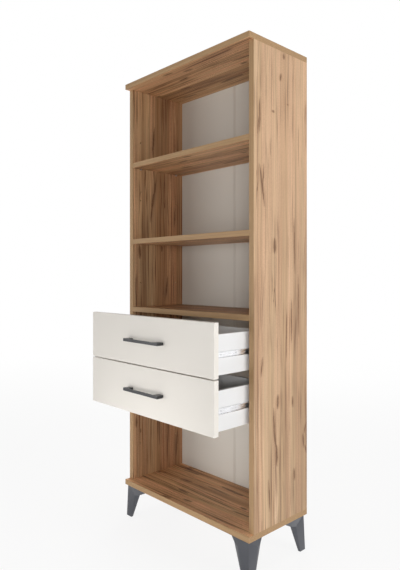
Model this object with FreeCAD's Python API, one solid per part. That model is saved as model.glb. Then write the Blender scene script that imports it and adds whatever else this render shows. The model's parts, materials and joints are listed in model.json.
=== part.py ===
import FreeCAD, Part
import math
import os

# Tall open bookcase with two drawers in its lower half, on four tapered corner legs.
# Board furniture: sides between a top and a bottom panel that overhang the front, three
# shelves, a thin two-part back held in grooves, two drawers on ball-bearing rails.
#
# Everything is modelled in carcass coordinates: X across the width with 0 in the middle,
# Y = 0 at the front edges of the side panels and growing to the rear, Z = 0 on the floor.
# write_part moves each piece so that the origin is under the middle of the whole object
# with its drawers pulled out as they are here.

# ---- driving dimensions, in millimetres ----
WIDTH = 600.0
SIDE_DEPTH = 270.0
BOARD = 18.0
FRONT_OVERHANG = 21.0
LEG_HEIGHT = 115.0
CLEAR_HEIGHT = 1459.0

# Top faces of the three shelves, above the bottom panel's top face.
COVER_SHELF_TOP = 646.0
MIDDLE_SHELF_TOP = 899.0
UPPER_SHELF_TOP = 1184.0
SHELF_DEPTH = 251.5
LOOSE_SHELF_PLAY = 1.0
SPARE_PIN_HEIGHTS = (127.0, 735.0, 1047.0, 1079.0, 1265.0)

BACK_FACE = 253.0
BACK_BOARD = 3.0
GROOVE_DEPTH = 7.0
GROOVE_PLAY = 0.2
GROOVE_END_PLAY = 1.0
STRIP_WIDTH = 10.0
STRIP_WEB = 1.6
STRIP_LIP = 0.9

DRAWER_FRONT_HEIGHT = 156.0
DRAWER_FRONT_GAP = 3.5
DRAWER_FRONT_MARGIN = 2.0
LOWEST_FRONT_EDGE = 318.0
DRAWER_OPENING = 148.0
DRAWER_CLOSED_GAP = 2.0

BOX_BOARD = 12.0
BOX_HEIGHT = 116.0
BOX_LENGTH = 250.0
BOX_LIFT = 3.0
BOX_BACK_DROP = 2.5
BOX_BOTTOM_BOARD = 3.0
BOX_BOTTOM_HEIGHT = 8.0
BOX_GROOVE_DEPTH = 5.0

HANDLE_LENGTH = 172.0
HANDLE_REACH = 25.0
HANDLE_HEIGHT = 9.0
HANDLE_BAR_DEPTH = 6.0
HANDLE_FOOT_WIDTH = 22.0
HANDLE_FOOT_LEAN = 3.0
HANDLE_OUTER_ROUND = 2.0
HANDLE_INNER_ROUND = 3.0
HANDLE_RIM = 0.6
HANDLE_HOLE_SPACING = 160.0

RAIL_SPACE = 10.0
RAIL_LENGTH = 250.0
RAIL_TRAVEL = 180.0
RAIL_SHEET = 1.1
BALL_RADIUS = 2.0
BALL_PITCH = 13.0
BALLS_PER_ROW = 4

# ---- derived planes ----
HALF = WIDTH / 2
INNER = HALF - BOARD
BOTTOM_TOP = LEG_HEIGHT + BOARD
TOP_UNDERSIDE = BOTTOM_TOP + CLEAR_HEIGHT
TOTAL_HEIGHT = TOP_UNDERSIDE + BOARD
FRONT_THICKNESS = BOARD
HANDLE_FRONT_Y = -DRAWER_OPENING - FRONT_THICKNESS - HANDLE_REACH
MIDDLE_Y = (HANDLE_FRONT_Y + SIDE_DEPTH) / 2
HOLE_PLAY = 0.1

V = FreeCAD.Vector
RIGHT = V(1, 0, 0)
REAR = V(0, 1, 0)
UP = V(0, 0, 1)


# ---- small helpers ----
def block(x0, x1, y0, y1, z0, z1):
    """A box between two corners, given in any order."""
    low = V(min(x0, x1), min(y0, y1), min(z0, z1))
    return Part.makeBox(abs(x1 - x0), abs(y1 - y0), abs(z1 - z0), low)


def ring(radius, centre, direction, sides):
    """Corners of a regular polygon round an axis, the same for a hole and its fastener."""
    across = direction.cross(UP)
    if across.Length < 0.5:
        across = direction.cross(RIGHT)
    across.normalize()
    along = direction.cross(across)
    corners = []
    for number in range(sides):
        angle = 2 * math.pi * (number + 0.5) / sides
        corners.append(centre + across * (radius * math.cos(angle)) + along * (radius * math.sin(angle)))
    return corners


def rod(radius, start, direction, length, sides=6):
    """A bar with narrow flats in place of a round one, from a point along a direction."""
    return prism(ring(radius, start, direction, sides), direction * length)


def tapered_rod(radius, end_radius, start, direction, length, sides=6):
    """A rod whose radius changes evenly from one end to the other."""
    near = ring(radius, start, direction, sides)
    far = ring(end_radius, start + direction * length, direction, sides)
    return between_outlines(near, far)


def group(solids):
    """Several separate solids kept as one piece."""
    return Part.makeCompound(solids)


def bore(shape, *cutters):
    """The shape with every cutter taken out of it."""
    return shape.cut(group(list(cutters)))


def mirrored(shape):
    """The shape's mirror image on the other side of the bookcase."""
    return shape.mirror(V(0, 0, 0), RIGHT)


def closed(corners):
    """A closed outline through corner points."""
    return Part.makePolygon(corners + [corners[0]])


def prism(corners, push):
    """A flat polygon pushed along a vector."""
    return Part.Face(closed(corners)).extrude(push)


def faceted_solid(corners, faces):
    """A closed solid from its corner points and the corner numbers of its flat faces."""
    shells = []
    for face in faces:
        shells.append(Part.Face(closed([corners[number] for number in face])))
    return Part.Solid(Part.Shell(shells))


def between_outlines(near, far):
    """A solid between two outlines with the same number of corners and flat sides."""
    count = len(near)
    faces = [tuple(range(count)), tuple(range(count, 2 * count))]
    for number in range(count):
        after = (number + 1) % count
        faces.append((number, after, count + after, count + number))
    return faceted_solid(near + far, faces)


def write_part(name, shape):
    """Move one piece to the object's own origin and write it."""
    placed = shape.copy()
    placed.translate(V(0, -MIDDLE_Y, 0))
    placed.exportStep("parts/" + name + ".step")


# ---- fasteners ----
def flat_head_screw(seat, direction, length, shank=1.75, head=3.5):
    """A countersunk screw: seat is the middle of its flush head, direction is into the wood."""
    depth = head - shank
    cone = tapered_rod(head, shank, seat, direction, depth)
    body = rod(shank, seat + direction * depth, direction, length - depth)
    return cone.fuse(body).removeSplitter()


def flat_head_hole(seat, direction, length, shank=1.75, head=3.5):
    """The room that a countersunk screw takes, with a little play."""
    return flat_head_screw(seat, direction, length + HOLE_PLAY, shank + HOLE_PLAY, head + HOLE_PLAY)


def pan_head_screw(seat, direction, length, shank=1.75, head=3.2, head_height=1.8):
    """A pan-head screw: seat is where the underside of its head meets the surface."""
    cap = rod(head, seat - direction * head_height, direction, head_height, 8)
    return cap.fuse(rod(shank, seat, direction, length)).removeSplitter()


def pan_head_hole(seat, direction, length, shank=1.75):
    """The pilot hole under a pan-head screw's seat."""
    return rod(shank + HOLE_PLAY, seat, direction, length + HOLE_PLAY)


# ---- carcass fixings: where they sit ----
FIXING_Y = (50.0, 205.0)
DOWEL_Y = (95.0, 160.0)
PIN_Y = (37.0, 216.0)
CONFIRMAT = {"length": 50.0, "shank": 2.5, "head": 5.0}
DOWEL_RADIUS = 4.0
DOWEL_LENGTH = 30.0
DOWEL_IN_PANEL = 12.0
DOWEL_END_ROOM = 0.5
CAM_RADIUS = 7.5
CAM_DEPTH = 12.5
CAM_SETBACK = 34.0
CAM_MOUTH_RADIUS = 3.7
BOLT_THREAD = 11.0
BOLT_RADIUS = 2.5
BOLT_NECK_RADIUS = 1.5
BOLT_NECK = 2.5
BOLT_HEAD = 2.0
PIN_RADIUS = 2.5
PIN_IN = 9.0
PIN_OUT = 7.0


def side_joint_x(side):
    """The middle plane of a side panel: side is -1 for the left one, 1 for the right one."""
    return side * (HALF - BOARD / 2)


def confirmats(make):
    """The long screws through the top and bottom panels into the ends of the sides."""
    made = []
    for side in (-1, 1):
        for y in FIXING_Y:
            above = V(side_joint_x(side), y, TOTAL_HEIGHT)
            below = V(side_joint_x(side), y, LEG_HEIGHT)
            made.append(make(above, -UP, **CONFIRMAT))
            made.append(make(below, UP, **CONFIRMAT))
    return made


def end_dowels(radius, play):
    """The wooden pegs across the joints between the sides and the top and bottom panels."""
    made = []
    for side in (-1, 1):
        for y in DOWEL_Y:
            for joint_z in (BOTTOM_TOP, TOP_UNDERSIDE):
                start = V(side_joint_x(side), y, joint_z - play)
                start.z -= DOWEL_IN_PANEL if joint_z == BOTTOM_TOP else DOWEL_LENGTH - DOWEL_IN_PANEL
                made.append(rod(radius, start, UP, DOWEL_LENGTH + 2 * play))
    return made


def fixed_shelf_heights():
    """Mid-heights of the two shelves that are held by cam fittings."""
    tops = (COVER_SHELF_TOP, MIDDLE_SHELF_TOP)
    return [BOTTOM_TOP + top - BOARD / 2 for top in tops]


def cam_disc(side, y, z):
    """A round cam let into a shelf's underside, with the mouth that takes its bolt's head."""
    centre = V(side * (INNER - CAM_SETBACK), y, z - BOARD / 2)
    disc = rod(CAM_RADIUS, centre, UP, CAM_DEPTH, 12)
    mouth = rod(CAM_MOUTH_RADIUS, V(centre.x, y, z), RIGHT * side, CAM_RADIUS + 1.0)
    return disc.cut(mouth)


def cam_bolt(root, towards, setback):
    """A bolt screwed in at root, whose head ends in the middle of a cam at setback."""
    neck_start = setback - BOLT_NECK - BOLT_HEAD
    shank = rod(BOLT_RADIUS, root - towards * BOLT_THREAD, towards, BOLT_THREAD + neck_start)
    neck = rod(BOLT_NECK_RADIUS, root + towards * neck_start, towards, BOLT_NECK)
    head = rod(BOLT_RADIUS, root + towards * (neck_start + BOLT_NECK), towards, BOLT_HEAD)
    return shank.fuse([neck, head])


def shelf_pin(side, y):
    """The peg that the upper shelf lies on."""
    z = BOTTOM_TOP + UPPER_SHELF_TOP - BOARD - PIN_RADIUS
    start = V(side * (INNER + PIN_IN), y, z)
    return rod(PIN_RADIUS, start, RIGHT * -side, PIN_IN + PIN_OUT)


# ---- drawer rails: one pair for each drawer ----
# A rail's section is drawn with w across its thickness, from 0 at the side panel to
# RAIL_SPACE at the drawer box, and z up from its middle line. Both members are folded
# sheet: the outer one wraps round the outside of the two rows of balls, the inner one
# is a channel that lies between the rows.
SHEET_HALF = RAIL_SHEET / 2
RACE_PLAY = 0.15
RACE = BALL_RADIUS + RACE_PLAY + SHEET_HALF
BALL_W = 3.6
BALL_Z = 10.2
CORNER = BALL_W - SHEET_HALF
CORNER_Z = BALL_Z - (CORNER - RACE)
LIP_END = 10
RACE_END = 60
WEB_FOLD = 2.0
STOP_DEPTH = 5.0
STOP_HALF_HEIGHT = 5.0
SLOT_HALF_LENGTH = 4.5
SLOT_HALF_HEIGHT = 1.8
SLOT_ROUND = 1.5
INNER_RAIL_START = 1.0
OUTER_FRONT_Y = 2.0
CAGE_PLAY_AT_FULL_TRAVEL = 3.0
RAIL_HOLES = (35.0, 227.0)
OUTER_RAIL_HOLES = (37.0, 213.0)
SLOT_PLACES = (72.0, 96.0, 168.0)


def bend(centre_w, centre_z, radius, start, end, steps=3):
    """Points of a rail's section round a bend, from one angle to another."""
    points = []
    for number in range(steps + 1):
        angle = math.radians(start + (end - start) * number / steps)
        points.append(V(centre_w + radius * math.cos(angle), 0, centre_z + radius * math.sin(angle)))
    return points


def outer_section():
    """The outer member: web, rounded corners, ball races and the open ends of the lips."""
    outside = [SHEET_HALF, CORNER + SHEET_HALF, RACE + SHEET_HALF]
    inside = [-SHEET_HALF, CORNER - SHEET_HALF, RACE - SHEET_HALF]
    half = bend(BALL_W, CORNER_Z, outside[1], 180, 90) + bend(BALL_W, BALL_Z, outside[2], 90, LIP_END)[1:]
    half += bend(BALL_W, BALL_Z, inside[2], LIP_END, 90) + bend(BALL_W, CORNER_Z, inside[1], 90, 180)[1:]
    return half + [V(point.x, 0, -point.z) for point in reversed(half)]


def inner_section():
    """The inner member: web on the drawer box, two flanges and the ball races in them."""
    flange_z = BALL_Z - RACE * math.sin(math.radians(RACE_END))
    fold_w = RAIL_SPACE - WEB_FOLD
    fold_z = flange_z + SHEET_HALF - WEB_FOLD
    half = bend(fold_w, fold_z, WEB_FOLD, 0, 90, 2)
    half += bend(BALL_W, BALL_Z, RACE - SHEET_HALF, -RACE_END, RACE_END - 180)
    half += bend(BALL_W, BALL_Z, RACE + SHEET_HALF, RACE_END - 180, -RACE_END)
    half += bend(fold_w, fold_z, WEB_FOLD - RAIL_SHEET, 90, 0, 2)
    return half + [V(point.x, 0, -point.z) for point in reversed(half)]


def rail_to_place(shape, side, front_y, z):
    """Turn a piece drawn in a rail's section into its place beside a side panel."""
    placed = shape.mirror(V(0, 0, 0), RIGHT)
    placed.translate(V(INNER, front_y, z))
    if side < 0:
        placed = mirrored(placed)
    return placed


def outer_rail():
    """The member on the side panel, with a stop folded up at its rear end."""
    member = prism(outer_section(), REAR * RAIL_LENGTH)
    stop = block(RAIL_SHEET, STOP_DEPTH, RAIL_LENGTH - RAIL_SHEET, RAIL_LENGTH,
                 -STOP_HALF_HEIGHT, STOP_HALF_HEIGHT)
    holes = [flat_head_hole(V(RAIL_SHEET, hole, 0), -RIGHT, 5.0) for hole in OUTER_RAIL_HOLES]
    return bore(member.fuse(stop), *holes)


def inner_rail():
    """The member on the drawer box, with its screw holes and slots for adjustment."""
    member = prism(inner_section(), REAR * RAIL_LENGTH)
    start_w = RAIL_SPACE - RAIL_SHEET - 1.0
    cuts = [rod(1.75 + HOLE_PLAY, V(start_w, hole, 0), RIGHT, 3.0) for hole in RAIL_HOLES]
    flat = SLOT_HALF_LENGTH - SLOT_ROUND
    ends = [(-SLOT_HALF_LENGTH, 0), (-flat, SLOT_HALF_HEIGHT), (flat, SLOT_HALF_HEIGHT),
            (SLOT_HALF_LENGTH, 0), (flat, -SLOT_HALF_HEIGHT), (-flat, -SLOT_HALF_HEIGHT)]
    for slot_y in SLOT_PLACES:
        cuts.append(prism([V(start_w, slot_y + y, z) for y, z in ends], RIGHT * 3.0))
    return bore(member, *cuts)


def ball():
    """One steel ball with flats, centred on the origin."""
    half = [V(0, 0, -BALL_RADIUS)]
    for angle in (-45, 0, 45):
        across = BALL_RADIUS * math.cos(math.radians(angle))
        half.append(V(across, 0, BALL_RADIUS * math.sin(math.radians(angle))))
    half.append(V(0, 0, BALL_RADIUS))
    rings = [ring(point.x, V(0, 0, point.z), UP, 8) for point in half[1:-1]]
    corners = [half[0]] + [corner for level in rings for corner in level] + [half[-1]]
    faces = []
    for number in range(8):
        after = (number + 1) % 8
        faces.append((0, 1 + after, 1 + number))
        for level in (1, 9):
            faces.append((level + number, level + after, level + 8 + after, level + 8 + number))
        faces.append((17 + number, 17 + after, 25))
    return faceted_solid(corners, faces)


def ball_places():
    """Centres of the balls in both rows, along a cage that starts at Y = 0."""
    places = []
    for row_z in (-BALL_Z, BALL_Z):
        for number in range(BALLS_PER_ROW):
            places.append(V(BALL_W, BALL_PITCH * (number + 0.5), row_z))
    return places


CAGE_CLOSED_Y = OUTER_FRONT_Y + CAGE_PLAY_AT_FULL_TRAVEL + RAIL_TRAVEL / 2
CAGE_FRONT_W = 1.25
CAGE_STRIP = 0.4
CAGE_STRIP_HALF_HEIGHT = 9.4
FINGER_REACH_W = 5.3
FINGER_LOW = 9.0
FINGER_HIGH = 10.9
BALL_PLAY = 0.15


def ball_cage():
    """A flat strip with a finger between each two balls, which keeps them apart."""
    half_finger = BALL_PITCH / 2 - BALL_RADIUS - BALL_PLAY
    length = BALL_PITCH * BALLS_PER_ROW
    strip = block(CAGE_FRONT_W, CAGE_FRONT_W + CAGE_STRIP, -half_finger, length + half_finger,
                  -CAGE_STRIP_HALF_HEIGHT, CAGE_STRIP_HALF_HEIGHT)
    root_w = CAGE_FRONT_W + CAGE_STRIP / 2
    fingers = []
    for row in (-1, 1):
        for number in range(BALLS_PER_ROW + 1):
            y = number * BALL_PITCH
            fingers.append(block(root_w, FINGER_REACH_W, y - half_finger, y + half_finger,
                                 row * FINGER_LOW, row * FINGER_HIGH))
    return strip.fuse(fingers).removeSplitter()


# ---- drawers ----
CAM_HEIGHTS = (30.0, 90.0)
BOX_CAM_DEPTH = 9.5
BOX_CAM_SETBACK = 24.0
BOX_CAM_MOUTH_RADIUS = 3.2
REAR_SCREW_HEIGHTS = (30.0, 90.0)
REAR_SCREW = {"length": 40.0, "shank": 2.0, "head": 4.0}
RAIL_SCREW_LENGTH = 11.0
OUTER_RAIL_SCREW_LENGTH = 14.0
HANDLE_SCREW_BITE = 9.0
HANDLE_SCREW = {"length": FRONT_THICKNESS + HANDLE_SCREW_BITE, "shank": 2.0, "head": 4.0,
                "head_height": 2.5}
RAIL_HEIGHT_ON_BOX = BOX_HEIGHT / 2
BOX_HALF = INNER - RAIL_SPACE
BOX_INNER = BOX_HALF - BOX_BOARD
BOX_FRONT_Y = -DRAWER_OPENING


def box_bolt_root(side, z):
    """Where a bolt leaves the back of the drawer front, in the middle of a side board."""
    return V(side * (BOX_INNER + BOX_BOARD / 2), BOX_FRONT_Y, z)


def box_cam(side, z):
    """A cam in a drawer side, where the front's bolt is drawn in."""
    face = V(side * BOX_INNER, BOX_FRONT_Y + BOX_CAM_SETBACK, z)
    disc = rod(CAM_RADIUS, face, RIGHT * side, BOX_CAM_DEPTH, 12)
    axis = box_bolt_root(side, z) + REAR * BOX_CAM_SETBACK
    mouth = rod(BOX_CAM_MOUTH_RADIUS, axis, -REAR, CAM_RADIUS + 1.0)
    return disc.cut(mouth)


def bow_handle(z):
    """A flat bow handle: a thin bar on two broad feet, with its rims broken."""
    half = HANDLE_LENGTH / 2
    front_y = BOX_FRONT_Y - FRONT_THICKNESS
    low = z - HANDLE_HEIGHT / 2
    corner = HANDLE_OUTER_ROUND
    hollow = HANDLE_INNER_ROUND
    foot_inner = half - HANDLE_FOOT_WIDTH
    hollow_x = foot_inner - HANDLE_FOOT_LEAN - hollow
    hollow_reach = HANDLE_REACH - HANDLE_BAR_DEPTH - hollow
    right = [V(half, 0, 0)]
    right += bend(half - corner, HANDLE_REACH - corner, corner, 0, 90)
    left = [V(-point.x, 0, point.z) for point in reversed(right)]
    bow = [V(-foot_inner, 0, 0)]
    bow += bend(-hollow_x, hollow_reach, hollow, 180, 90)
    bow += bend(hollow_x, hollow_reach, hollow, 90, 0)
    bow.append(V(foot_inner, 0, 0))
    corners = [V(point.x, front_y - point.z, low) for point in right + left + bow]
    bar = prism(corners, UP * HANDLE_HEIGHT)
    rims = []
    for edge in bar.Edges:
        lies_flat = edge.BoundBox.ZLength < 0.01
        off_the_front = edge.BoundBox.YMin < front_y - 1.0
        if lies_flat and off_the_front:
            rims.append(edge)
    return bar.makeChamfer(HANDLE_RIM, rims)


def handle_screw_seats(z):
    """Where the handle's two screws sit on the back of the drawer front."""
    return [V(side * HANDLE_HOLE_SPACING / 2, BOX_FRONT_Y, z) for side in (-1, 1)]


def side_screw_seats(side, z0):
    """Where the screws through a drawer side enter it, in line with the drawer's back."""
    y = BOX_FRONT_Y + BOX_LENGTH - BOX_BOARD / 2
    return [V(side * BOX_HALF, y, z0 + height) for height in REAR_SCREW_HEIGHTS]


def build_drawer(name, front_edge):
    """All pieces of one drawer; front_edge is the lower edge of its front above the floor."""
    pieces = {}
    z0 = front_edge + BOX_LIFT
    handle_z = front_edge + DRAWER_FRONT_HEIGHT / 2
    rail_z = z0 + RAIL_HEIGHT_ON_BOX
    cams = [(side, z0 + height) for side in (-1, 1) for height in CAM_HEIGHTS]
    bolts = [cam_bolt(box_bolt_root(side, z), REAR, BOX_CAM_SETBACK) for side, z in cams]
    discs = [box_cam(side, z) for side, z in cams]

    half_front = HALF - DRAWER_FRONT_MARGIN
    front_y = BOX_FRONT_Y - FRONT_THICKNESS
    front = block(-half_front, half_front, front_y, BOX_FRONT_Y,
                  front_edge, front_edge + DRAWER_FRONT_HEIGHT)
    floor_low = z0 + BOX_BOTTOM_HEIGHT
    floor_high = floor_low + BOX_BOTTOM_BOARD
    reach = BOX_INNER + BOX_GROOVE_DEPTH
    groove = block(-reach - GROOVE_PLAY, reach + GROOVE_PLAY,
                   BOX_FRONT_Y - BOX_GROOVE_DEPTH - GROOVE_PLAY, BOX_FRONT_Y + BOX_LENGTH + 1.0,
                   floor_low - GROOVE_PLAY / 2, floor_high + GROOVE_PLAY / 2)
    holes = [groove]
    for seat in handle_screw_seats(handle_z):
        holes.append(rod(HANDLE_SCREW["shank"] + 2 * HOLE_PLAY, seat, -REAR, FRONT_THICKNESS))
    for side, z in cams:
        root = box_bolt_root(side, z)
        holes.append(rod(BOLT_RADIUS + HOLE_PLAY, root, -REAR, BOLT_THREAD + HOLE_PLAY))
    pieces["front"] = bore(front, *holes)

    rail_screws = []
    rear_screws = []
    rear_holes = []
    for side, word in ((-1, "left"), (1, "right")):
        wall = block(side * BOX_INNER, side * BOX_HALF, BOX_FRONT_Y, BOX_FRONT_Y + BOX_LENGTH,
                     z0, z0 + BOX_HEIGHT)
        cuts = [groove]
        for height in CAM_HEIGHTS:
            face = V(side * BOX_INNER, BOX_FRONT_Y + BOX_CAM_SETBACK, z0 + height)
            cuts.append(rod(CAM_RADIUS + HOLE_PLAY, face, RIGHT * side, BOX_CAM_DEPTH + HOLE_PLAY, 12))
            root = box_bolt_root(side, z0 + height)
            cuts.append(rod(BOLT_RADIUS + HOLE_PLAY, root, REAR, BOX_CAM_SETBACK))
        inward = RIGHT * -side
        for hole in RAIL_HOLES:
            seat = V(side * (BOX_HALF + RAIL_SHEET), BOX_FRONT_Y + INNER_RAIL_START + hole, rail_z)
            rail_screws.append(pan_head_screw(seat, inward, RAIL_SCREW_LENGTH))
            cuts.append(pan_head_hole(seat, inward, RAIL_SCREW_LENGTH))
        for seat in side_screw_seats(side, z0):
            rear_screws.append(flat_head_screw(seat, inward, **REAR_SCREW))
            rear_holes.append(flat_head_hole(seat, inward, **REAR_SCREW))
        pieces[word + "_side"] = bore(wall, *cuts, *rear_holes)
        rail = rail_to_place(inner_rail(), side, BOX_FRONT_Y + INNER_RAIL_START, rail_z)
        pieces[word + "_inner_rail"] = rail

    back = block(-BOX_INNER, BOX_INNER, BOX_FRONT_Y + BOX_LENGTH - BOX_BOARD,
                 BOX_FRONT_Y + BOX_LENGTH, floor_high, z0 + BOX_HEIGHT - BOX_BACK_DROP)
    pieces["back"] = bore(back, *rear_holes)
    pieces["base"] = block(-reach, reach, BOX_FRONT_Y - BOX_GROOVE_DEPTH,
                           BOX_FRONT_Y + BOX_LENGTH, floor_low, floor_high)

    handle = bow_handle(handle_z)
    handle_screws = []
    for seat in handle_screw_seats(handle_z):
        handle_screws.append(pan_head_screw(seat, -REAR, **HANDLE_SCREW))
        handle = handle.cut(pan_head_hole(seat, -REAR, HANDLE_SCREW["length"], HANDLE_SCREW["shank"]))
    pieces["handle"] = handle
    pieces["handle_screws"] = group(handle_screws)
    pieces["rail_screws"] = group(rail_screws)
    pieces["back_screws"] = group(rear_screws)
    pieces["cam_discs"] = group(discs)
    pieces["cam_bolts"] = group(bolts)
    for piece, shape in pieces.items():
        write_part(name + "_" + piece, shape)
    return rail_z


# ---- legs ----
LEG_TOP_INSET = 7.5
LEG_FOOT_INSET = 4.0
FOOT_WIDE = 31.0
FOOT_THICK = 12.0
KNEE_WIDE = 50.0
KNEE_HEIGHT = 86.0
CALF_WIDE = 70.0
CALF_SET_BACK = 14.0
CALF_HEIGHT = 90.0
WING_REACH = 124.0
LEG_FLANGE = 3.0
LEG_SCREW_PLACES = ((86.0, 40.0), (40.0, 86.0), (52.0, 52.0))
LEG_SCREW = {"length": 16.0, "shank": 2.0, "head": 4.0, "head_height": 2.4}


def swapped(shape):
    """The shape's mirror image across the diagonal of the leg's corner."""
    return shape.mirror(V(0, 0, 0), V(1, -1, 0))


def corner_leg():
    """One moulded leg, drawn for the corner at the origin and reaching to +X and +Y.

    Each outer face runs from the foot to a knee and back to the top corner. Past that line
    a facet leans in under the panel, through the calf, and runs out into a thin wing."""
    lean = (LEG_TOP_INSET - LEG_FOOT_INSET) / LEG_HEIGHT
    heel = V(LEG_FOOT_INSET, LEG_FOOT_INSET, 0)
    top = V(LEG_TOP_INSET, LEG_TOP_INSET, LEG_HEIGHT)
    toe = V(FOOT_WIDE, LEG_FOOT_INSET, 0)
    toe_inside = V(FOOT_WIDE, FOOT_THICK, 0)
    knee = V(KNEE_WIDE, LEG_FOOT_INSET + lean * KNEE_HEIGHT, KNEE_HEIGHT)
    calf = V(CALF_WIDE, CALF_SET_BACK, CALF_HEIGHT)
    facet = (calf - knee).cross(top - knee)

    def under_panel(reach):
        """The point of the facet at the panel's underside, at a reach from the corner."""
        return V(reach, top.y - facet.x * (reach - top.x) / facet.y, LEG_HEIGHT)

    half = [toe, toe_inside, knee, calf, under_panel(CALF_WIDE)]
    corners = [heel, top] + half + [V(point.y, point.x, point.z) for point in half]
    outer_faces = [(0, 2, 4, 1), (2, 3, 5), (2, 5, 4), (4, 5, 6, 1)]
    partner = [0, 1, 7, 8, 9, 10, 11]
    faces = outer_faces + [tuple(partner[number] for number in reversed(face)) for face in outer_faces]
    faces += [(3, 8, 10, 5), (5, 10, 11, 6), (0, 7, 8, 3, 2), (1, 6, 11)]

    tip = under_panel(WING_REACH)
    wing = prism([under_panel(KNEE_WIDE), calf, tip], REAR * LEG_FLANGE)
    flange = prism([top, tip, V(tip.y, tip.x, tip.z)], UP * -LEG_FLANGE)
    leg = faceted_solid(corners, faces).fuse([wing, swapped(wing), flange]).removeSplitter()
    clear = LEG_SCREW["shank"] + 2 * HOLE_PLAY
    starts = [V(a, b, LEG_HEIGHT - 2 * LEG_FLANGE) for a, b in LEG_SCREW_PLACES]
    return bore(leg, *[rod(clear, start, UP, 3 * LEG_FLANGE) for start in starts])


def at_corner(shape, side, rear):
    """Put a leg's piece at one of the four corners of the bottom panel."""
    placed = shape
    placed_y = -FRONT_OVERHANG
    if rear:
        placed = placed.mirror(V(0, 0, 0), REAR)
        placed_y = SIDE_DEPTH
    placed.translate(V(-HALF, placed_y, 0))
    if side > 0:
        placed = mirrored(placed)
    return placed


def leg_screws():
    """The screws of one leg, in the same place as corner_leg."""
    seats = [V(a, b, LEG_HEIGHT - LEG_FLANGE) for a, b in LEG_SCREW_PLACES]
    return [pan_head_screw(seat, UP, **LEG_SCREW) for seat in seats]


def leg_screw_holes():
    """The pilot holes for one leg's screws in the bottom panel."""
    bite = LEG_SCREW["length"] - LEG_FLANGE
    seats = [V(a, b, LEG_HEIGHT) for a, b in LEG_SCREW_PLACES]
    return [pan_head_hole(seat, UP, bite, LEG_SCREW["shank"]) for seat in seats]


LEG_CORNERS = {
    "front_left_leg": (-1, False),
    "front_right_leg": (1, False),
    "rear_left_leg": (-1, True),
    "rear_right_leg": (1, True),
}

# ---- build: drawers and their rails ----
os.makedirs("parts", exist_ok=True)

upper_edge = BOTTOM_TOP + LOWEST_FRONT_EDGE + DRAWER_FRONT_HEIGHT + DRAWER_FRONT_GAP
lower_edge = BOTTOM_TOP + LOWEST_FRONT_EDGE
opening_travel = DRAWER_OPENING - DRAWER_CLOSED_GAP
outer_rail_screws = []
outer_rail_holes = {-1: [], 1: []}
for name, edge in (("upper", upper_edge), ("lower", lower_edge)):
    rail_z = build_drawer(name + "_drawer", edge)
    balls = []
    for side, word in ((-1, "left"), (1, "right")):
        outer = rail_to_place(outer_rail(), side, OUTER_FRONT_Y, rail_z)
        write_part(name + "_" + word + "_outer_rail", outer)
        cage_y = CAGE_CLOSED_Y - opening_travel / 2
        cage = rail_to_place(ball_cage(), side, cage_y, rail_z)
        write_part(name + "_" + word + "_ball_cage", cage)
        for place in ball_places():
            one = ball()
            one.translate(place)
            balls.append(rail_to_place(one, side, cage_y, rail_z))
        for hole in OUTER_RAIL_HOLES:
            seat = V(side * (INNER - RAIL_SHEET), OUTER_FRONT_Y + hole, rail_z)
            outer_rail_screws.append(flat_head_screw(seat, RIGHT * side, OUTER_RAIL_SCREW_LENGTH))
            outer_rail_holes[side].append(flat_head_hole(seat, RIGHT * side, OUTER_RAIL_SCREW_LENGTH))
    write_part(name + "_rail_balls", group(balls))
write_part("outer_rail_screws", group(outer_rail_screws))

# ---- build: side panels ----
dowel_rooms = end_dowels(DOWEL_RADIUS + HOLE_PLAY / 2, DOWEL_END_ROOM)
confirmat_rooms = confirmats(flat_head_hole)
groove_front = BACK_FACE - GROOVE_PLAY
groove_rear = BACK_FACE + BACK_BOARD + GROOVE_PLAY
for side, word in ((-1, "left"), (1, "right")):
    panel = block(side * INNER, side * HALF, 0, SIDE_DEPTH, BOTTOM_TOP, TOP_UNDERSIDE)
    cuts = [block(side * INNER, side * (INNER + GROOVE_DEPTH), groove_front, groove_rear,
                  BOTTOM_TOP, TOP_UNDERSIDE)]
    for y in PIN_Y:
        heights = [BOTTOM_TOP + height for height in SPARE_PIN_HEIGHTS]
        heights.append(BOTTOM_TOP + UPPER_SHELF_TOP - BOARD - PIN_RADIUS)
        for z in heights:
            start = V(side * INNER, y, z)
            cuts.append(rod(PIN_RADIUS + HOLE_PLAY / 2, start, RIGHT * side, PIN_IN + HOLE_PLAY))
    for z in fixed_shelf_heights():
        for y in FIXING_Y:
            start = V(side * INNER, y, z)
            cuts.append(rod(BOLT_RADIUS + HOLE_PLAY, start, RIGHT * side, BOLT_THREAD + HOLE_PLAY))
    cuts += outer_rail_holes[side] + dowel_rooms + confirmat_rooms
    write_part(word + "_side_panel", bore(panel, *cuts))

# ---- build: top and bottom panels ----
back_groove = block(-INNER - GROOVE_DEPTH, INNER + GROOVE_DEPTH, groove_front, groove_rear,
                    BOTTOM_TOP - GROOVE_DEPTH, TOP_UNDERSIDE + GROOVE_DEPTH)
top_board = block(-HALF, HALF, -FRONT_OVERHANG, SIDE_DEPTH, TOP_UNDERSIDE, TOTAL_HEIGHT)
write_part("top_panel", bore(top_board, back_groove, *dowel_rooms, *confirmat_rooms))

bottom_board = block(-HALF, HALF, -FRONT_OVERHANG, SIDE_DEPTH, LEG_HEIGHT, BOTTOM_TOP)
all_leg_holes = []
all_leg_screws = []
for name, (side, rear) in LEG_CORNERS.items():
    write_part(name, at_corner(corner_leg(), side, rear))
    all_leg_screws += [at_corner(screw, side, rear) for screw in leg_screws()]
    all_leg_holes += [at_corner(hole, side, rear) for hole in leg_screw_holes()]
write_part("leg_screws", group(all_leg_screws))
write_part("bottom_panel", bore(bottom_board, back_groove, *dowel_rooms, *confirmat_rooms,
                                *all_leg_holes))

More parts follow.
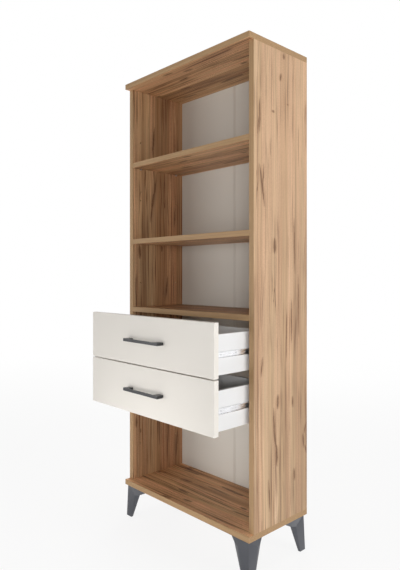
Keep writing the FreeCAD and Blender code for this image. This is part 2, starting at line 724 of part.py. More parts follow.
# ---- build: shelves ----
cam_discs = []
cam_bolts = []
for name, z in zip(("cover_shelf", "middle_shelf"), fixed_shelf_heights()):
    board = block(-INNER, INNER, 0, SHELF_DEPTH, z - BOARD / 2, z + BOARD / 2)
    cuts = []
    for side in (-1, 1):
        for y in FIXING_Y:
            wall = V(side * INNER, y, z)
            cam_discs.append(cam_disc(side, y, z))
            cam_bolts.append(cam_bolt(wall, RIGHT * -side, CAM_SETBACK))
            well = V(side * (INNER - CAM_SETBACK), y, z - BOARD / 2)
            cuts.append(rod(CAM_RADIUS + HOLE_PLAY, well, UP, CAM_DEPTH + HOLE_PLAY, 12))
            cuts.append(rod(BOLT_RADIUS + HOLE_PLAY, wall, RIGHT * -side, CAM_SETBACK))
    write_part(name, bore(board, *cuts))
upper_top = BOTTOM_TOP + UPPER_SHELF_TOP
loose_half = INNER - LOOSE_SHELF_PLAY
write_part("upper_shelf", block(-loose_half, loose_half, 0, SHELF_DEPTH, upper_top - BOARD, upper_top))
write_part("shelf_pins", group([shelf_pin(side, y) for side in (-1, 1) for y in PIN_Y]))
write_part("shelf_cam_discs", group(cam_discs))
write_part("shelf_cam_bolts", group(cam_bolts))

# ---- build: back ----
panel_bite = GROOVE_DEPTH - GROOVE_END_PLAY
panel_low = BOTTOM_TOP - panel_bite
panel_high = TOP_UNDERSIDE + panel_bite
panel_outer = INNER + panel_bite
for side, word in ((-1, "left"), (1, "right")):
    write_part(word + "_back_panel", block(side * STRIP_WEB / 2, side * panel_outer, BACK_FACE,
                                           BACK_FACE + BACK_BOARD, panel_low, panel_high))
strip_rear = BACK_FACE + BACK_BOARD
strip = block(-STRIP_WEB / 2, STRIP_WEB / 2, BACK_FACE - STRIP_LIP, strip_rear + STRIP_LIP,
              BOTTOM_TOP, TOP_UNDERSIDE)
front_lip = block(-STRIP_WIDTH / 2, STRIP_WIDTH / 2, BACK_FACE - STRIP_LIP, BACK_FACE,
                  BOTTOM_TOP, TOP_UNDERSIDE)
rear_lip = block(-STRIP_WIDTH / 2, STRIP_WIDTH / 2, strip_rear, strip_rear + STRIP_LIP,
                 BOTTOM_TOP, TOP_UNDERSIDE)
write_part("back_joint_strip", strip.fuse([front_lip, rear_lip]).removeSplitter())

# ---- build: carcass fasteners ----
write_part("confirmat_screws", group(confirmats(flat_head_screw)))
write_part("end_dowels", group(end_dowels(DOWEL_RADIUS, 0.0)))
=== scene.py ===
import json
import math

import bmesh
import bpy
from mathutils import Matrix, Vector


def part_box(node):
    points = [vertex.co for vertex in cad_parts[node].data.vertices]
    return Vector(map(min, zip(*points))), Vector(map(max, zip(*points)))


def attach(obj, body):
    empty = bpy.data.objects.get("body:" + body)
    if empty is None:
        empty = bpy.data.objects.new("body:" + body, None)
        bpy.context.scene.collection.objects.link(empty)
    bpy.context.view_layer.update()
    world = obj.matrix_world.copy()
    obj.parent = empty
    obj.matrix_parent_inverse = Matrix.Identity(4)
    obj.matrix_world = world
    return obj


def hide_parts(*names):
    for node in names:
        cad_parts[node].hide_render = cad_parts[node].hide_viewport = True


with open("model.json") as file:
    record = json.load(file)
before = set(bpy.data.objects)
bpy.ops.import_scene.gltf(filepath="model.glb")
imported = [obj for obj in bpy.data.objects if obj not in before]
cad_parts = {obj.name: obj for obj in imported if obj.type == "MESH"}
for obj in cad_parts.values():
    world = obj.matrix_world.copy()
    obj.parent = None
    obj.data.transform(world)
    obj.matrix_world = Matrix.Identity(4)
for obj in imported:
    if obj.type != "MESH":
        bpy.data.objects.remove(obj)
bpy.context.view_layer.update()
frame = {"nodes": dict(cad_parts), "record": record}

scene = bpy.context.scene

# ---- Point of view ----
# The bookcase is looked at from its front right corner, dead level and a little above its
# drawers, from nearly two metres away. The small shift sets it left of the middle.
lens = bpy.data.cameras.new("viewpoint")
lens.lens = 33.64
lens.shift_x = 0.0452
lens.shift_y = -0.0171
viewpoint = bpy.data.objects.new("viewpoint", lens)
viewpoint.location = (1.3072, -1.2589, 0.8967)
viewpoint.rotation_euler = (math.radians(90), 0, math.radians(48.05))
scene.collection.objects.link(viewpoint)
scene.camera = viewpoint
scene.view_settings.view_transform = "Standard"


# ---- Studio ----
# The bookcase stands on a white studio floor that runs out of sight. Beside the room's
# even light a wide lamp hangs high above, and four stand at the right, in front, at the
# rear and behind the point of view. A weak one low in front lights the lowest bay.
def add_node(tree, kind, sockets=None, **options):
    """A node with its options set and its sockets fed by values or by other nodes' outputs."""
    made = tree.nodes.new(kind)
    for option, value in options.items():
        setattr(made, option, value)
    for socket, value in (sockets or {}).items():
        if isinstance(value, bpy.types.NodeSocket):
            tree.links.new(value, made.inputs[socket])
        else:
            made.inputs[socket].default_value = value
    return made


def join_node(kind, sockets, **options):
    """The first output of a new node, in the tree of the sockets that feed it."""
    feeds = [value for value in sockets.values() if isinstance(value, bpy.types.NodeSocket)]
    return add_node(feeds[0].id_data, kind, sockets, **options).outputs[0]


def calc(operation, first, second=0.0):
    return join_node("ShaderNodeMath", {0: first, 1: second}, operation=operation)


def times(first, second):
    return calc("MULTIPLY", first, second)


def fade(value, low, high, start=0.0, end=1.0):
    """Runs smoothly from start to end while the value goes from low to high."""
    sockets = {"Value": value, "From Min": low, "From Max": high, "To Min": start, "To Max": end}
    return join_node("ShaderNodeMapRange", sockets, interpolation_type="SMOOTHSTEP")


def blend_colours(amount, under, over, how="MIX"):
    return join_node("ShaderNodeMixRGB", {"Fac": amount, "Color1": under, "Color2": over}, blend_type=how)


def paint(red, green, blue):
    """The colour that shows on a screen with these values from 0 to 255."""
    shares = [value / 255 for value in (red, green, blue)]
    linear = [share / 12.92 if share < 0.04045 else ((share + 0.055) / 1.055) ** 2.4 for share in shares]
    return linear + [1.0]


def background_ray(tree):
    """1 for what the camera sees straight, mirrored in metal or through glass, else 0."""
    path = add_node(tree, "ShaderNodeLightPath")
    direct = calc("MAXIMUM", path.outputs["Is Camera Ray"], path.outputs["Is Glossy Ray"])
    return calc("MAXIMUM", direct, path.outputs["Is Transmission Ray"])


room = bpy.data.worlds.new("studio room")
room.use_nodes = True
scene.world = room
room_light = 0.15
tree = room.node_tree
tree.nodes.clear()
even_light = add_node(tree, "ShaderNodeBackground", {"Color": paint(255, 253, 250), "Strength": room_light})
white = add_node(tree, "ShaderNodeBackground", {"Color": (1, 1, 1, 1), "Strength": 1.0})
chosen = add_node(tree, "ShaderNodeMixShader",
                  {0: background_ray(tree), 1: even_light.outputs[0], 2: white.outputs[0]})
add_node(tree, "ShaderNodeOutputWorld", {"Surface": chosen.outputs[0]})

floor_paint = bpy.data.materials.new("studio floor")
floor_paint.use_nodes = True
tree = floor_paint.node_tree
tree.nodes.clear()
near_radius, far_radius, near_whiteness = 1.2, 4.5, 0.88
where = add_node(tree, "ShaderNodeTexCoord").outputs["Object"]
distance = add_node(tree, "ShaderNodeVectorMath", {0: where}, operation="LENGTH").outputs["Value"]
matt = add_node(tree, "ShaderNodeBsdfDiffuse", {"Color": paint(240, 240, 240)})
glow = add_node(tree, "ShaderNodeEmission", {"Strength": 1.0})
whiteness = fade(distance, near_radius, far_radius, near_whiteness, 1.0)
white_share = times(whiteness, background_ray(tree))
whole_floor = add_node(tree, "ShaderNodeMixShader", {0: white_share, 1: matt.outputs[0], 2: glow.outputs[0]})
add_node(tree, "ShaderNodeOutputMaterial", {"Surface": whole_floor.outputs[0]})

floor_radius = 40.0
bpy.ops.mesh.primitive_circle_add(vertices=64, radius=floor_radius, fill_type="NGON")
floor = bpy.context.object
floor.name = "studio_floor"
floor.data.materials.append(floor_paint)


def hang_lamp(name, place, aim, width, watts, spread=180):
    """A square lamp that faces the point it is aimed at."""
    light = bpy.data.lights.new(name, "AREA")
    light.size = width
    light.energy = watts
    light.spread = math.radians(spread)
    lamp = bpy.data.objects.new(name, light)
    lamp.location = place
    lamp.rotation_euler = (Vector(aim) - Vector(place)).to_track_quat("-Z", "Y").to_euler()
    scene.collection.objects.link(lamp)


middle = (0, 0, 0.85)
hang_lamp("high_lamp", (0, -0.4, 30.0), middle, 15.0, 2520)
hang_lamp("right_lamp", (3.8, 0.8, 0.9), middle, 2.0, 66)
hang_lamp("front_lamp", (-1.7, -3.1, 0.5), middle, 2.0, 36)
hang_lamp("low_lamp", (0.05, -1.15, 0.20), (0, 0, 0.30), 0.4, 0.42, 50)
hang_lamp("fill_lamp", (2.2, -2.1, 0.98), middle, 0.5, 25)
hang_lamp("rear_lamp", (-2.4, 3.2, 1.6), middle, 2.0, 48)


# ---- Bottom panel and top panel ----
# Chipboard 18 mm thick with a printed rustic-oak paper on both faces, the same paper as
# edging on three edges, and a raw rear edge. Both overhang the sides at the front, and
# each is fixed by long screws into the sides' ends.
def plus(first, second):
    return calc("ADD", first, second)


def minus(first, second):
    return calc("SUBTRACT", first, second)


def away_from(value, middle):
    """How far a value is from a middle one, on either side."""
    return calc("ABSOLUTE", minus(value, middle))


def stretched_noise(place, stretch, detail=2.0, roughness=0.5):
    """Noise with its own fineness across, through and along the grain, in waves a metre."""
    scaled = join_node("ShaderNodeVectorMath", {0: place, 1: stretch}, operation="MULTIPLY")
    sockets = {"Vector": scaled, "Scale": 1.0, "Detail": detail, "Roughness": roughness}
    return add_node(place.id_data, "ShaderNodeTexNoise", sockets).outputs["Fac"]


def shaded(colour, light):
    """The colour made lighter or darker by a factor."""
    grey = join_node("ShaderNodeCombineColor", {"Red": light, "Green": light, "Blue": light})
    return blend_colours(1.0, colour, grey, "MULTIPLY")


def new_group(name, kind, taken, given):
    """A node group with named sockets; returns it with its input and output nodes."""
    group = bpy.data.node_groups.new(name, kind)
    for label, socket in taken.items():
        group.interface.new_socket(label, in_out="INPUT", socket_type="NodeSocket" + socket)
    for label, socket in given.items():
        group.interface.new_socket(label, in_out="OUTPUT", socket_type="NodeSocket" + socket)
    return group, group.nodes.new("NodeGroupInput").outputs, group.nodes.new("NodeGroupOutput").inputs


def make_oak_print():
    """The printed paper: Place is across, through and along the grain, in metres."""
    taken = {"Place": "Vector"}
    given = {"Flow": "Float", "Colour": "Color", "Rough": "Float", "Pores": "Float", "Rag": "Float",
             "Streaks": "Float"}
    tree, inside, outside = new_group("rustic oak print", "ShaderNodeTree", taken, given)
    place = inside["Place"]
    wide_sway = minus(stretched_noise(place, (5, 5, 0.9), 1.0), 0.5)
    small_sway = minus(stretched_noise(place, (12, 12, 6)), 0.5)
    sway = plus(times(wide_sway, 0.025), times(small_sway, 0.007))
    shift = add_node(tree, "ShaderNodeCombineXYZ", {"X": sway}).outputs[0]
    flowing = add_node(tree, "ShaderNodeVectorMath", {0: place, 1: shift}, operation="ADD").outputs[0]
    flow = add_node(tree, "ShaderNodeSeparateXYZ", {0: flowing}).outputs["X"]

    def grain_noise(waves, detail=2.0, roughness=0.5):
        """Noise that sways with the grain."""
        return stretched_noise(flowing, waves, detail, roughness)

    def patchy(waves, low, high, strength):
        """A strength that comes and goes over the board."""
        return fade(stretched_noise(place, waves, 1.0), low, high, strength * 0.2, strength)

    tan, ruddy = paint(210, 178, 141), paint(203, 168, 135)
    brown, deep = paint(165, 129, 98), paint(118, 82, 57)
    bands = fade(grain_noise((36, 36, 0.6)), 0.36, 0.64)
    colour = blend_colours(bands, tan, ruddy)
    hearts = fade(grain_noise((19, 19, 0.5), 1.5), 0.54, 0.64, 0.0, 0.45)
    colour = blend_colours(hearts, colour, brown)
    stripes = fade(grain_noise((115, 115, 1.6)), 0.50, 0.68)
    stripes = times(stripes, patchy((9, 9, 5.5), 0.40, 0.62, 0.56))
    colour = blend_colours(stripes, colour, brown)

    def thin_lines(waves, middle_value, width, strength, over):
        """Fine lines along the grain, where a noise passes through its middle value."""
        away = away_from(grain_noise(waves, 1.0), middle_value)
        amount = times(fade(away, width * 0.2, width, 1.0, 0.0), strength)
        return blend_colours(amount, colour, over)

    dark_strength = patchy((11, 11, 4.4), 0.44, 0.62, 0.95)
    colour = thin_lines((170, 170, 1.2), 0.45, 0.04, dark_strength, paint(140, 103, 75))
    light_strength = patchy((8, 8, 1.6), 0.4, 0.6, 0.5)
    colour = thin_lines((105, 105, 0.7), 0.55, 0.026, light_strength, paint(231, 205, 170))

    smudges = fade(grain_noise((75, 75, 3.2), 3.0, 0.6), 0.57, 0.72, 0.0, 0.6)
    colour = blend_colours(smudges, colour, deep)
    streaks = grain_noise((290, 290, 2.2), 3.0, 0.6)
    fine = grain_noise((1100, 1100, 16), 2.0, 0.6)
    patches = stretched_noise(place, (8, 8, 2.2))
    flecks = times(stretched_noise(place, (150, 150, 260), 1.0), bands)
    light = plus(fade(streaks, 0.25, 0.75, 0.86, 1.12), fade(fine, 0.2, 0.8, -0.05, 0.05))
    light = plus(light, fade(patches, 0.3, 0.7, -0.06, 0.06))
    light = plus(light, times(minus(flecks, 0.3), 0.26))
    colour = shaded(colour, light)

    rag = grain_noise((800, 800, 45), 2.0, 0.7)
    line = away_from(grain_noise((34, 34, 2.4), 3.0, 0.6), 0.5)
    line = plus(line, times(minus(rag, 0.5), 0.02))
    stretch = fade(stretched_noise(place, (19, 19, 3.1), 1.0), 0.65, 0.74)
    splits = times(fade(line, 0.004, 0.013, 1.0, 0.0), stretch)
    shade = times(fade(line, 0.0, 0.05, 1.0, 0.0), stretch)
    colour = blend_colours(times(shade, 0.45), colour, paint(150, 113, 80))
    colour = blend_colours(times(splits, 0.7), colour, paint(96, 66, 44))

    pores = fade(grain_noise((1500, 1500, 70), 1.0), 0.62, 0.74)
    colour = blend_colours(times(pores, 0.22), colour, paint(120, 86, 58))
    results = {"Flow": flow, "Colour": colour, "Rough": fade(streaks, 0.2, 0.8, 0.44, 0.56),
               "Pores": plus(pores, splits), "Rag": rag, "Streaks": streaks}
    for label, result in results.items():
        tree.links.new(result, outside[label])
    return tree


def make_crack_mark():
    """One dark split in the print, a lens that lies along the grain with a ruddy halo."""
    labels = ("Flow", "Along", "Rag", "Across Place", "Along Place", "Half Width", "Half Length", "Lean")
    taken = {label: "Float" for label in labels}
    given = {"Core": "Float", "Halo": "Float"}
    tree, inside, outside = new_group("crack mark", "ShaderNodeTree", taken, given)
    from_middle = minus(inside["Along"], inside["Along Place"])
    reach = calc("DIVIDE", from_middle, inside["Half Length"])
    middle_line = plus(inside["Across Place"], times(reach, inside["Lean"]))
    aside = away_from(inside["Flow"], middle_line)
    plump = calc("MAXIMUM", minus(1.0, times(reach, reach)), 0.0)
    width = plus(times(times(inside["Half Width"], 1.6), plump), 0.00005)
    ragged = times(minus(inside["Rag"], 0.5), 2.6)
    ratio = plus(calc("DIVIDE", aside, width), ragged)
    inside_ends = calc("GREATER_THAN", plump, 0.001)
    core = times(fade(ratio, 0.3, 1.0, 1.0, 0.0), inside_ends)
    halo_width = plus(times(inside["Half Width"], 4.0), 0.003)
    halo = fade(calc("DIVIDE", aside, halo_width), 0.0, 1.0, 1.0, 0.0)
    tree.links.new(core, outside["Core"])
    tree.links.new(times(halo, plump), outside["Halo"])
    return tree


oak_print = make_oak_print()
crack_mark = make_crack_mark()


def new_finish(name):
    """A material with its tree, its shader and the coordinates that its pattern lies on."""
    finish = bpy.data.materials.new(name)
    finish.use_nodes = True
    tree = finish.node_tree
    where = add_node(tree, "ShaderNodeTexCoord").outputs["Object"]
    return finish, tree, tree.nodes["Principled BSDF"], where


def add_dents(tree, shader, height, strength, distance, invert=False):
    """Small dents in a finish, which follow a height."""
    sockets = {"Height": height, "Strength": strength, "Distance": distance}
    dents = add_node(tree, "ShaderNodeBump", sockets, invert=invert)
    tree.links.new(dents.outputs[0], shader.inputs["Normal"])


def turned_to(facing, way):
    """1 where a face looks a given way, 0 where it lies along it."""
    sockets = {0: facing, 1: way}
    return add_node(facing.id_data, "ShaderNodeVectorMath", sockets, operation="DOT_PRODUCT").outputs["Value"]


def place_cracks(tree, cracks, printed, place, along):
    """How dark a board's own cracks are, and their halos round them."""
    waver = minus(stretched_noise(place, (40, 40, 42)), 0.5)
    wavering = plus(printed["Flow"], times(waver, 0.005))
    labels = ("Across Place", "Along Place", "Half Width", "Half Length", "Lean")
    core, halo = 0.0, 0.0
    for crack in cracks:
        sockets = {label: size / 1000 for label, size in zip(labels, crack)}
        sockets.update({"Flow": wavering, "Along": along, "Rag": printed["Rag"]})
        mark = add_node(tree, "ShaderNodeGroup", sockets, node_tree=crack_mark).outputs
        core = calc("MAXIMUM", mark["Core"], core)
        halo = calc("MAXIMUM", mark["Halo"], halo)
    worn = fade(stretched_noise(place, (260, 260, 60)), 0.28, 0.5, 0.6, 1.0)
    return times(core, worn), halo


def oak_decor(name, grain, shown_face, cracks, dark_bands_and_shade, shift, tone, face_light_richness):
    """Oak decor for one board. Each crack is its place across and along the grain, its half
    width and half length and its lean, and each band its middle and half width, in
    millimetres, on the face that points shown_face. Shift takes another part of the print.
    The tone and gamma given for that face paint light and shade into it: a tint, and dark
    places made darker. A band darkens the print; a wide one paints shade."""
    finish, tree, shader, where = new_finish(name)
    facing = add_node(tree, "ShaderNodeNewGeometry").outputs["True Normal"]
    # Faces that look different ways take parts of the print this far apart.
    parting = 0.9
    step = add_node(tree, "ShaderNodeVectorMath", {0: facing, "Scale": parting}, operation="SCALE")
    parted = add_node(tree, "ShaderNodeVectorMath", {0: where, 1: step.outputs[0]}, operation="ADD")
    xyz = add_node(tree, "ShaderNodeSeparateXYZ", {0: parted.outputs[0]}).outputs
    turned = {"Z": ("Y", "X", "Z"), "X": ("Y", "Z", "X")}[grain]
    across, through, along = [xyz[letter] for letter in turned]
    spot = {"X": across, "Y": plus(through, shift), "Z": along}
    place = add_node(tree, "ShaderNodeCombineXYZ", spot).outputs[0]
    printed = add_node(tree, "ShaderNodeGroup", {}, node_tree=oak_print)
    tree.links.new(place, printed.inputs["Place"])
    printed = printed.outputs

    # The gamma makes dark places darker, and leaves this middle tone of the print as it is.
    # With the tone it paints light and shade into the shown face, for the light that face gets.
    middle_oak = (0.53, 0.37, 0.235)
    rich = add_node(tree, "ShaderNodeGamma", {"Color": printed["Colour"], "Gamma": face_light_richness}).outputs[0]
    face_light_tint = [share ** (1 - face_light_richness) * amount for share, amount in zip(middle_oak, tone)]
    face_light_toned = blend_colours(1.0, rich, (*face_light_tint, 1.0), "MULTIPLY")
    on_face = calc("GREATER_THAN", turned_to(facing, shown_face), 0.5)
    colour = blend_colours(on_face, printed["Colour"], face_light_toned)
    # Each band darkens the print along the grain; the left side's wide band is painted shade.
    for middle_mm, half_mm, strength in dark_bands_and_shade:
        aside = away_from(printed["Flow"], middle_mm / 1000)
        band = fade(aside, half_mm * 0.8 / 1000, half_mm * 1.15 / 1000, strength, 0.0)
        band = times(band, on_face)
        colour = blend_colours(band, colour, (0.76, 0.665, 0.60, 1.0), "MULTIPLY")
    core, halo = place_cracks(tree, cracks, printed, place, along)
    core = times(core, on_face)
    halo = times(halo, on_face)
    colour = blend_colours(times(halo, 0.7), colour, paint(150, 113, 82))
    colour = blend_colours(times(core, 0.85), colour, paint(104, 70, 44))

    sheet_axis = {"Z": (1, 0, 0), "X": (0, 0, 1)}[grain]
    flat = calc("ABSOLUTE", turned_to(facing, sheet_axis))
    on_edge = calc("LESS_THAN", flat, 0.5)
    streaked = fade(printed["Streaks"], 0.3, 0.7)
    edging = blend_colours(streaked, paint(162, 129, 91), paint(181, 147, 108))
    tree.links.new(blend_colours(on_edge, colour, edging), shader.inputs["Base Color"])
    tree.links.new(printed["Rough"], shader.inputs["Roughness"])
    shader.inputs["Specular IOR Level"].default_value = 0.35
    add_dents(tree, shader, plus(printed["Pores"], core), 0.35, 0.0004, invert=True)
    return finish


def make_raw_chipboard():
    """The pressed chips that show at sawn edges and in drilled holes."""
    finish, tree, shader, where = new_finish("raw chipboard")
    chips = add_node(tree, "ShaderNodeTexVoronoi", {"Vector": where, "Scale": 420.0, "Randomness": 1.0})
    large = add_node(tree, "ShaderNodeTexVoronoi", {"Vector": where, "Scale": 160.0, "Randomness": 1.0})
    tone = add_node(tree, "ShaderNodeSeparateColor", {0: chips.outputs["Color"]}).outputs[0]
    large_tone = add_node(tree, "ShaderNodeSeparateColor", {0: large.outputs["Color"]}).outputs[1]
    colour = blend_colours(tone, paint(176, 142, 102), paint(214, 186, 146))
    dark_chip = fade(large_tone, 0.72, 0.80)
    colour = blend_colours(times(dark_chip, 0.55), colour, paint(128, 92, 60))
    tree.links.new(colour, shader.inputs["Base Color"])
    shader.inputs["Roughness"].default_value = 0.85
    add_dents(tree, shader, chips.outputs["Distance"], 0.5, 0.0006)
    return finish


raw_chipboard = make_raw_chipboard()


def stored(tree, name, kind):
    """What the mesh's points hold under a name."""
    named = add_node(tree, "GeometryNodeInputNamedAttribute", {"Name": name}, data_type=kind)
    return named.outputs["Attribute"]


def turn_to_seat(tree):
    """The turn that points a repeated shape along its point's stored direction."""
    towards = stored(tree, "towards", "FLOAT_VECTOR")
    return add_node(tree, "FunctionNodeAlignRotationToVector", {"Vector": towards}, axis="Z").outputs[0]


def make_cutting_tree():
    """Takes every cut out of a solid. The cuts are loose points of the same mesh, each with
    its size, the way it goes in and whether it is square; a face turned Bare Side is raw."""
    taken = {"Geometry": "Geometry", "Hole Sides": "Int", "Bare Side": "Vector", "Core": "Material"}
    tree, inside, outside = new_group("cut out", "GeometryNodeTree", taken, {"Geometry": "Geometry"})
    parts = add_node(tree, "GeometryNodeSeparateGeometry", {
        "Geometry": inside["Geometry"], "Selection": stored(tree, "is_cut", "BOOLEAN")}, domain="POINT")
    square = stored(tree, "is_square", "BOOLEAN")
    round_one = add_node(tree, "FunctionNodeBooleanMath", {0: square}, operation="NOT").outputs[0]
    turn = turn_to_seat(tree)
    size = stored(tree, "size", "FLOAT_VECTOR")
    drill = add_node(tree, "GeometryNodeMeshCylinder", {
        "Vertices": inside["Hole Sides"], "Radius": 0.5, "Depth": 1.0})
    chisel = add_node(tree, "GeometryNodeMeshCube", {"Size": (1, 1, 1)})
    joined = tree.nodes.new("GeometryNodeJoinGeometry")
    for tool, chosen in ((drill, round_one), (chisel, square)):
        cored = add_node(tree, "GeometryNodeSetMaterial", {
            "Geometry": tool.outputs["Mesh"], "Material": inside["Core"]})
        placed = add_node(tree, "GeometryNodeInstanceOnPoints", {
            "Points": parts.outputs["Selection"], "Selection": chosen, "Instance": cored.outputs[0],
            "Rotation": turn, "Scale": size})
        tree.links.new(placed.outputs[0], joined.inputs[0])
    cutters = add_node(tree, "GeometryNodeRealizeInstances", {0: joined.outputs[0]})
    cut = add_node(tree, "GeometryNodeMeshBoolean", {"Mesh 1": parts.outputs["Inverted"]},
                   operation="DIFFERENCE")
    tree.links.new(cutters.outputs[0], cut.inputs["Mesh 2"])
    whole = add_node(tree, "GeometryNodeRealizeInstances", {0: cut.outputs["Mesh"]})
    facing = add_node(tree, "GeometryNodeInputNormal").outputs[0]
    bare = calc("GREATER_THAN", turned_to(facing, inside["Bare Side"]), 0.9)
    skinned = add_node(tree, "GeometryNodeSetMaterial", {
        "Geometry": whole.outputs[0], "Selection": bare, "Material": inside["Core"]})
    tree.links.new(skinned.outputs[0], outside["Geometry"])
    return tree


cutting_tree = make_cutting_tree()


def round_cut(seat, towards, radius, depth):
    """A drilled hole from its seat on the surface, with a little overrun in front of it."""
    drill_overrun = 0.0005
    towards = Vector(towards).normalized()
    middle = Vector(seat) + towards * (depth - drill_overrun) / 2
    size = (2 * radius, 2 * radius, depth + drill_overrun)
    return {"middle": middle, "towards": towards, "size": size, "square": False}


def square_cut(low, high):
    """A groove or slot between two corners."""
    low, high = Vector(low), Vector(high)
    return {"middle": (low + high) / 2, "towards": Vector((0, 0, 1)), "size": high - low, "square": True}


def plain_mesh(piece):
    """Turns what the piece's modifiers make into its own mesh and removes them."""
    depsgraph = bpy.context.evaluated_depsgraph_get()
    made = bpy.data.meshes.new_from_object(piece.evaluated_get(depsgraph))
    piece.modifiers.clear()
    piece.data = made
    return made


def use_tree(piece, tree, settings):
    """Adds a geometry tree to a piece, its inputs set by name through their identifiers."""
    modifier = piece.modifiers.new(tree.name, "NODES")
    modifier.node_group = tree
    for item in tree.interface.items_tree:
        if item.item_type == "SOCKET" and item.in_out == "INPUT" and item.name in settings:
            modifier[item.identifier] = settings[item.name]


def take_place(piece, node):
    """The piece stands for a frame node: same body, node not shown."""
    record = frame["record"]
    for body, members in record["behaviour"]["bodies"].items():
        if node in members:
            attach(piece, body)
    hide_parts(node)


def box_points(low, high):
    """Corners and outward faces of a plain block."""
    xs, ys, zs = zip(low, high)
    corners = [(x, y, z) for x in xs for y in ys for z in zs]
    faces = [(0, 1, 3, 2), (4, 6, 7, 5), (0, 4, 5, 1), (2, 3, 7, 6), (0, 2, 6, 4), (1, 5, 7, 3)]
    return corners, faces


hole_sides = 24


def cut_piece(node, solid, cuts, skin, core, bare_side=(0, 0, 0), arris=0.0006):
    """A piece made from a solid's corners and faces less its cuts, with eased edges."""
    corners, faces = solid
    mesh = bpy.data.meshes.new(node + "_finished")
    mesh.from_pydata(list(corners) + [cut["middle"] for cut in cuts], [], faces)
    mesh.materials.append(skin)
    count = len(corners)
    fields = {"is_cut": "BOOLEAN", "is_square": "BOOLEAN", "towards": "FLOAT_VECTOR", "size": "FLOAT_VECTOR"}
    for name, kind in fields.items():
        mesh.attributes.new(name, kind, "POINT")
    for number, cut in enumerate(cuts):
        mesh.attributes["is_cut"].data[count + number].value = True
        mesh.attributes["is_square"].data[count + number].value = cut["square"]
        mesh.attributes["towards"].data[count + number].vector = cut["towards"]
        mesh.attributes["size"].data[count + number].vector = cut["size"]
    piece = bpy.data.objects.new(node + "_finished", mesh)
    scene.collection.objects.link(piece)
    use_tree(piece, cutting_tree, {"Hole Sides": hole_sides, "Bare Side": bare_side, "Core": core})
    if arris:
        eased = piece.modifiers.new("eased edges", "BEVEL")
        eased.width = arris
        eased.segments = 2
        eased.limit_method = "ANGLE"
        eased.angle_limit = math.radians(50)
    made_mesh = plain_mesh(piece)
    for name in fields:
        if name in made_mesh.attributes:
            made_mesh.attributes.remove(made_mesh.attributes[name])
    take_place(piece, node)
    return piece


joint_play, groove_play, overrun = 0.0001, 0.0002, 0.001
side_low, side_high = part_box("right_side_panel")
side_middle_x = (side_low.x + side_high.x) / 2
inner_x = side_low.x
fixing_ys = [side_low.y + setback for setback in (0.050, 0.205)]
back_low, back_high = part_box("right_back_panel")
groove_depth = 0.007
bottom_low, bottom_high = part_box("bottom_panel")
top_low, top_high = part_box("top_panel")
confirmat_radius, confirmat_head, confirmat_length = 0.0025, 0.0050, 0.050
head_hole_depth, shank_hole_depth = 0.0015, 0.020

# Cracks in the print: across, along, half width, half length and lean, in millimetres.
lying_cracks = [
    (84, -279, 2.2, 20, 1), (99, -137, 4.2, 30, 3), (26, -75, 3.2, 30, -3), (151, 41, 4.6, 56, -4),
    (149, 78, 3.0, 22, 2), (77, 163, 2.6, 16, 0), (-17, -6, 2.6, 22, 2), (-46, -80, 2.2, 26, 2),
    (-72, 92, 3.0, 42, 12), (118, 10, 1.6, 60, -2), (40, 190, 1.8, 48, 3), (170, -190, 2.0, 40, 3),
]
lying_bands = [(148, 17, 0.6), (100, 12, 0.45), (60, 9, 0.35), (8, 7, 0.3), (185, 14, 0.6), (-38, 6, 0.25)]
# Painted shade for the lying boards' shown faces: a redder tint and deeper dark places in the print.
lying_shade_tone = (1.02, 0.92, 0.83)
lying_shade_richness = 1.9


def cut_board(node, cuts, skin, core=raw_chipboard, bare_side=(0, 1, 0), arris=0.0006):
    """A board that fills its node's box, bare at the rear unless another side is given."""
    cut_piece(node, box_points(*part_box(node)), cuts, skin, core, bare_side, arris)


def screw_cuts(panel_face, towards):
    """Stepped holes for the two long screws over each side."""
    cuts = []
    for side in (-1, 1):
        for y in fixing_ys:
            seat = (side * side_middle_x, y, panel_face)
            cuts.append(round_cut(seat, towards, confirmat_head + joint_play, head_hole_depth))
            cuts.append(round_cut(seat, towards, confirmat_radius + joint_play, shank_hole_depth))
    return cuts


def back_groove(low_z, high_z):
    """The groove across a panel that holds the back's upper or lower edge."""
    reach = inner_x + groove_depth
    return square_cut((-reach, back_low.y - groove_play, low_z), (reach, back_high.y + groove_play, high_z))


bottom_cuts = screw_cuts(bottom_low.z, (0, 0, 1))
bottom_cuts.append(back_groove(bottom_high.z - groove_depth, bottom_high.z + overrun))
# Painted light and shade on the bottom's top face: lighter and redder at the print's middle tone, with deeper
# dark places.
bottom_light_tone, bottom_light_richness = (1.22, 1.10, 0.97), 1.7
skin = oak_decor("oak decor, bottom", "X", (0, 0, 1), lying_cracks, lying_bands, 0.35, bottom_light_tone,
                 bottom_light_richness)
cut_board("bottom_panel", bottom_cuts, skin)
top_cuts = screw_cuts(top_high.z, (0, 0, -1))
top_cuts.append(back_groove(top_low.z - overrun, top_low.z + groove_depth))
skin = oak_decor("oak decor, top", "X", (0, 0, -1), lying_cracks, lying_bands, 0.35, lying_shade_tone,
                 lying_shade_richness)
cut_board("top_panel", top_cuts, skin)


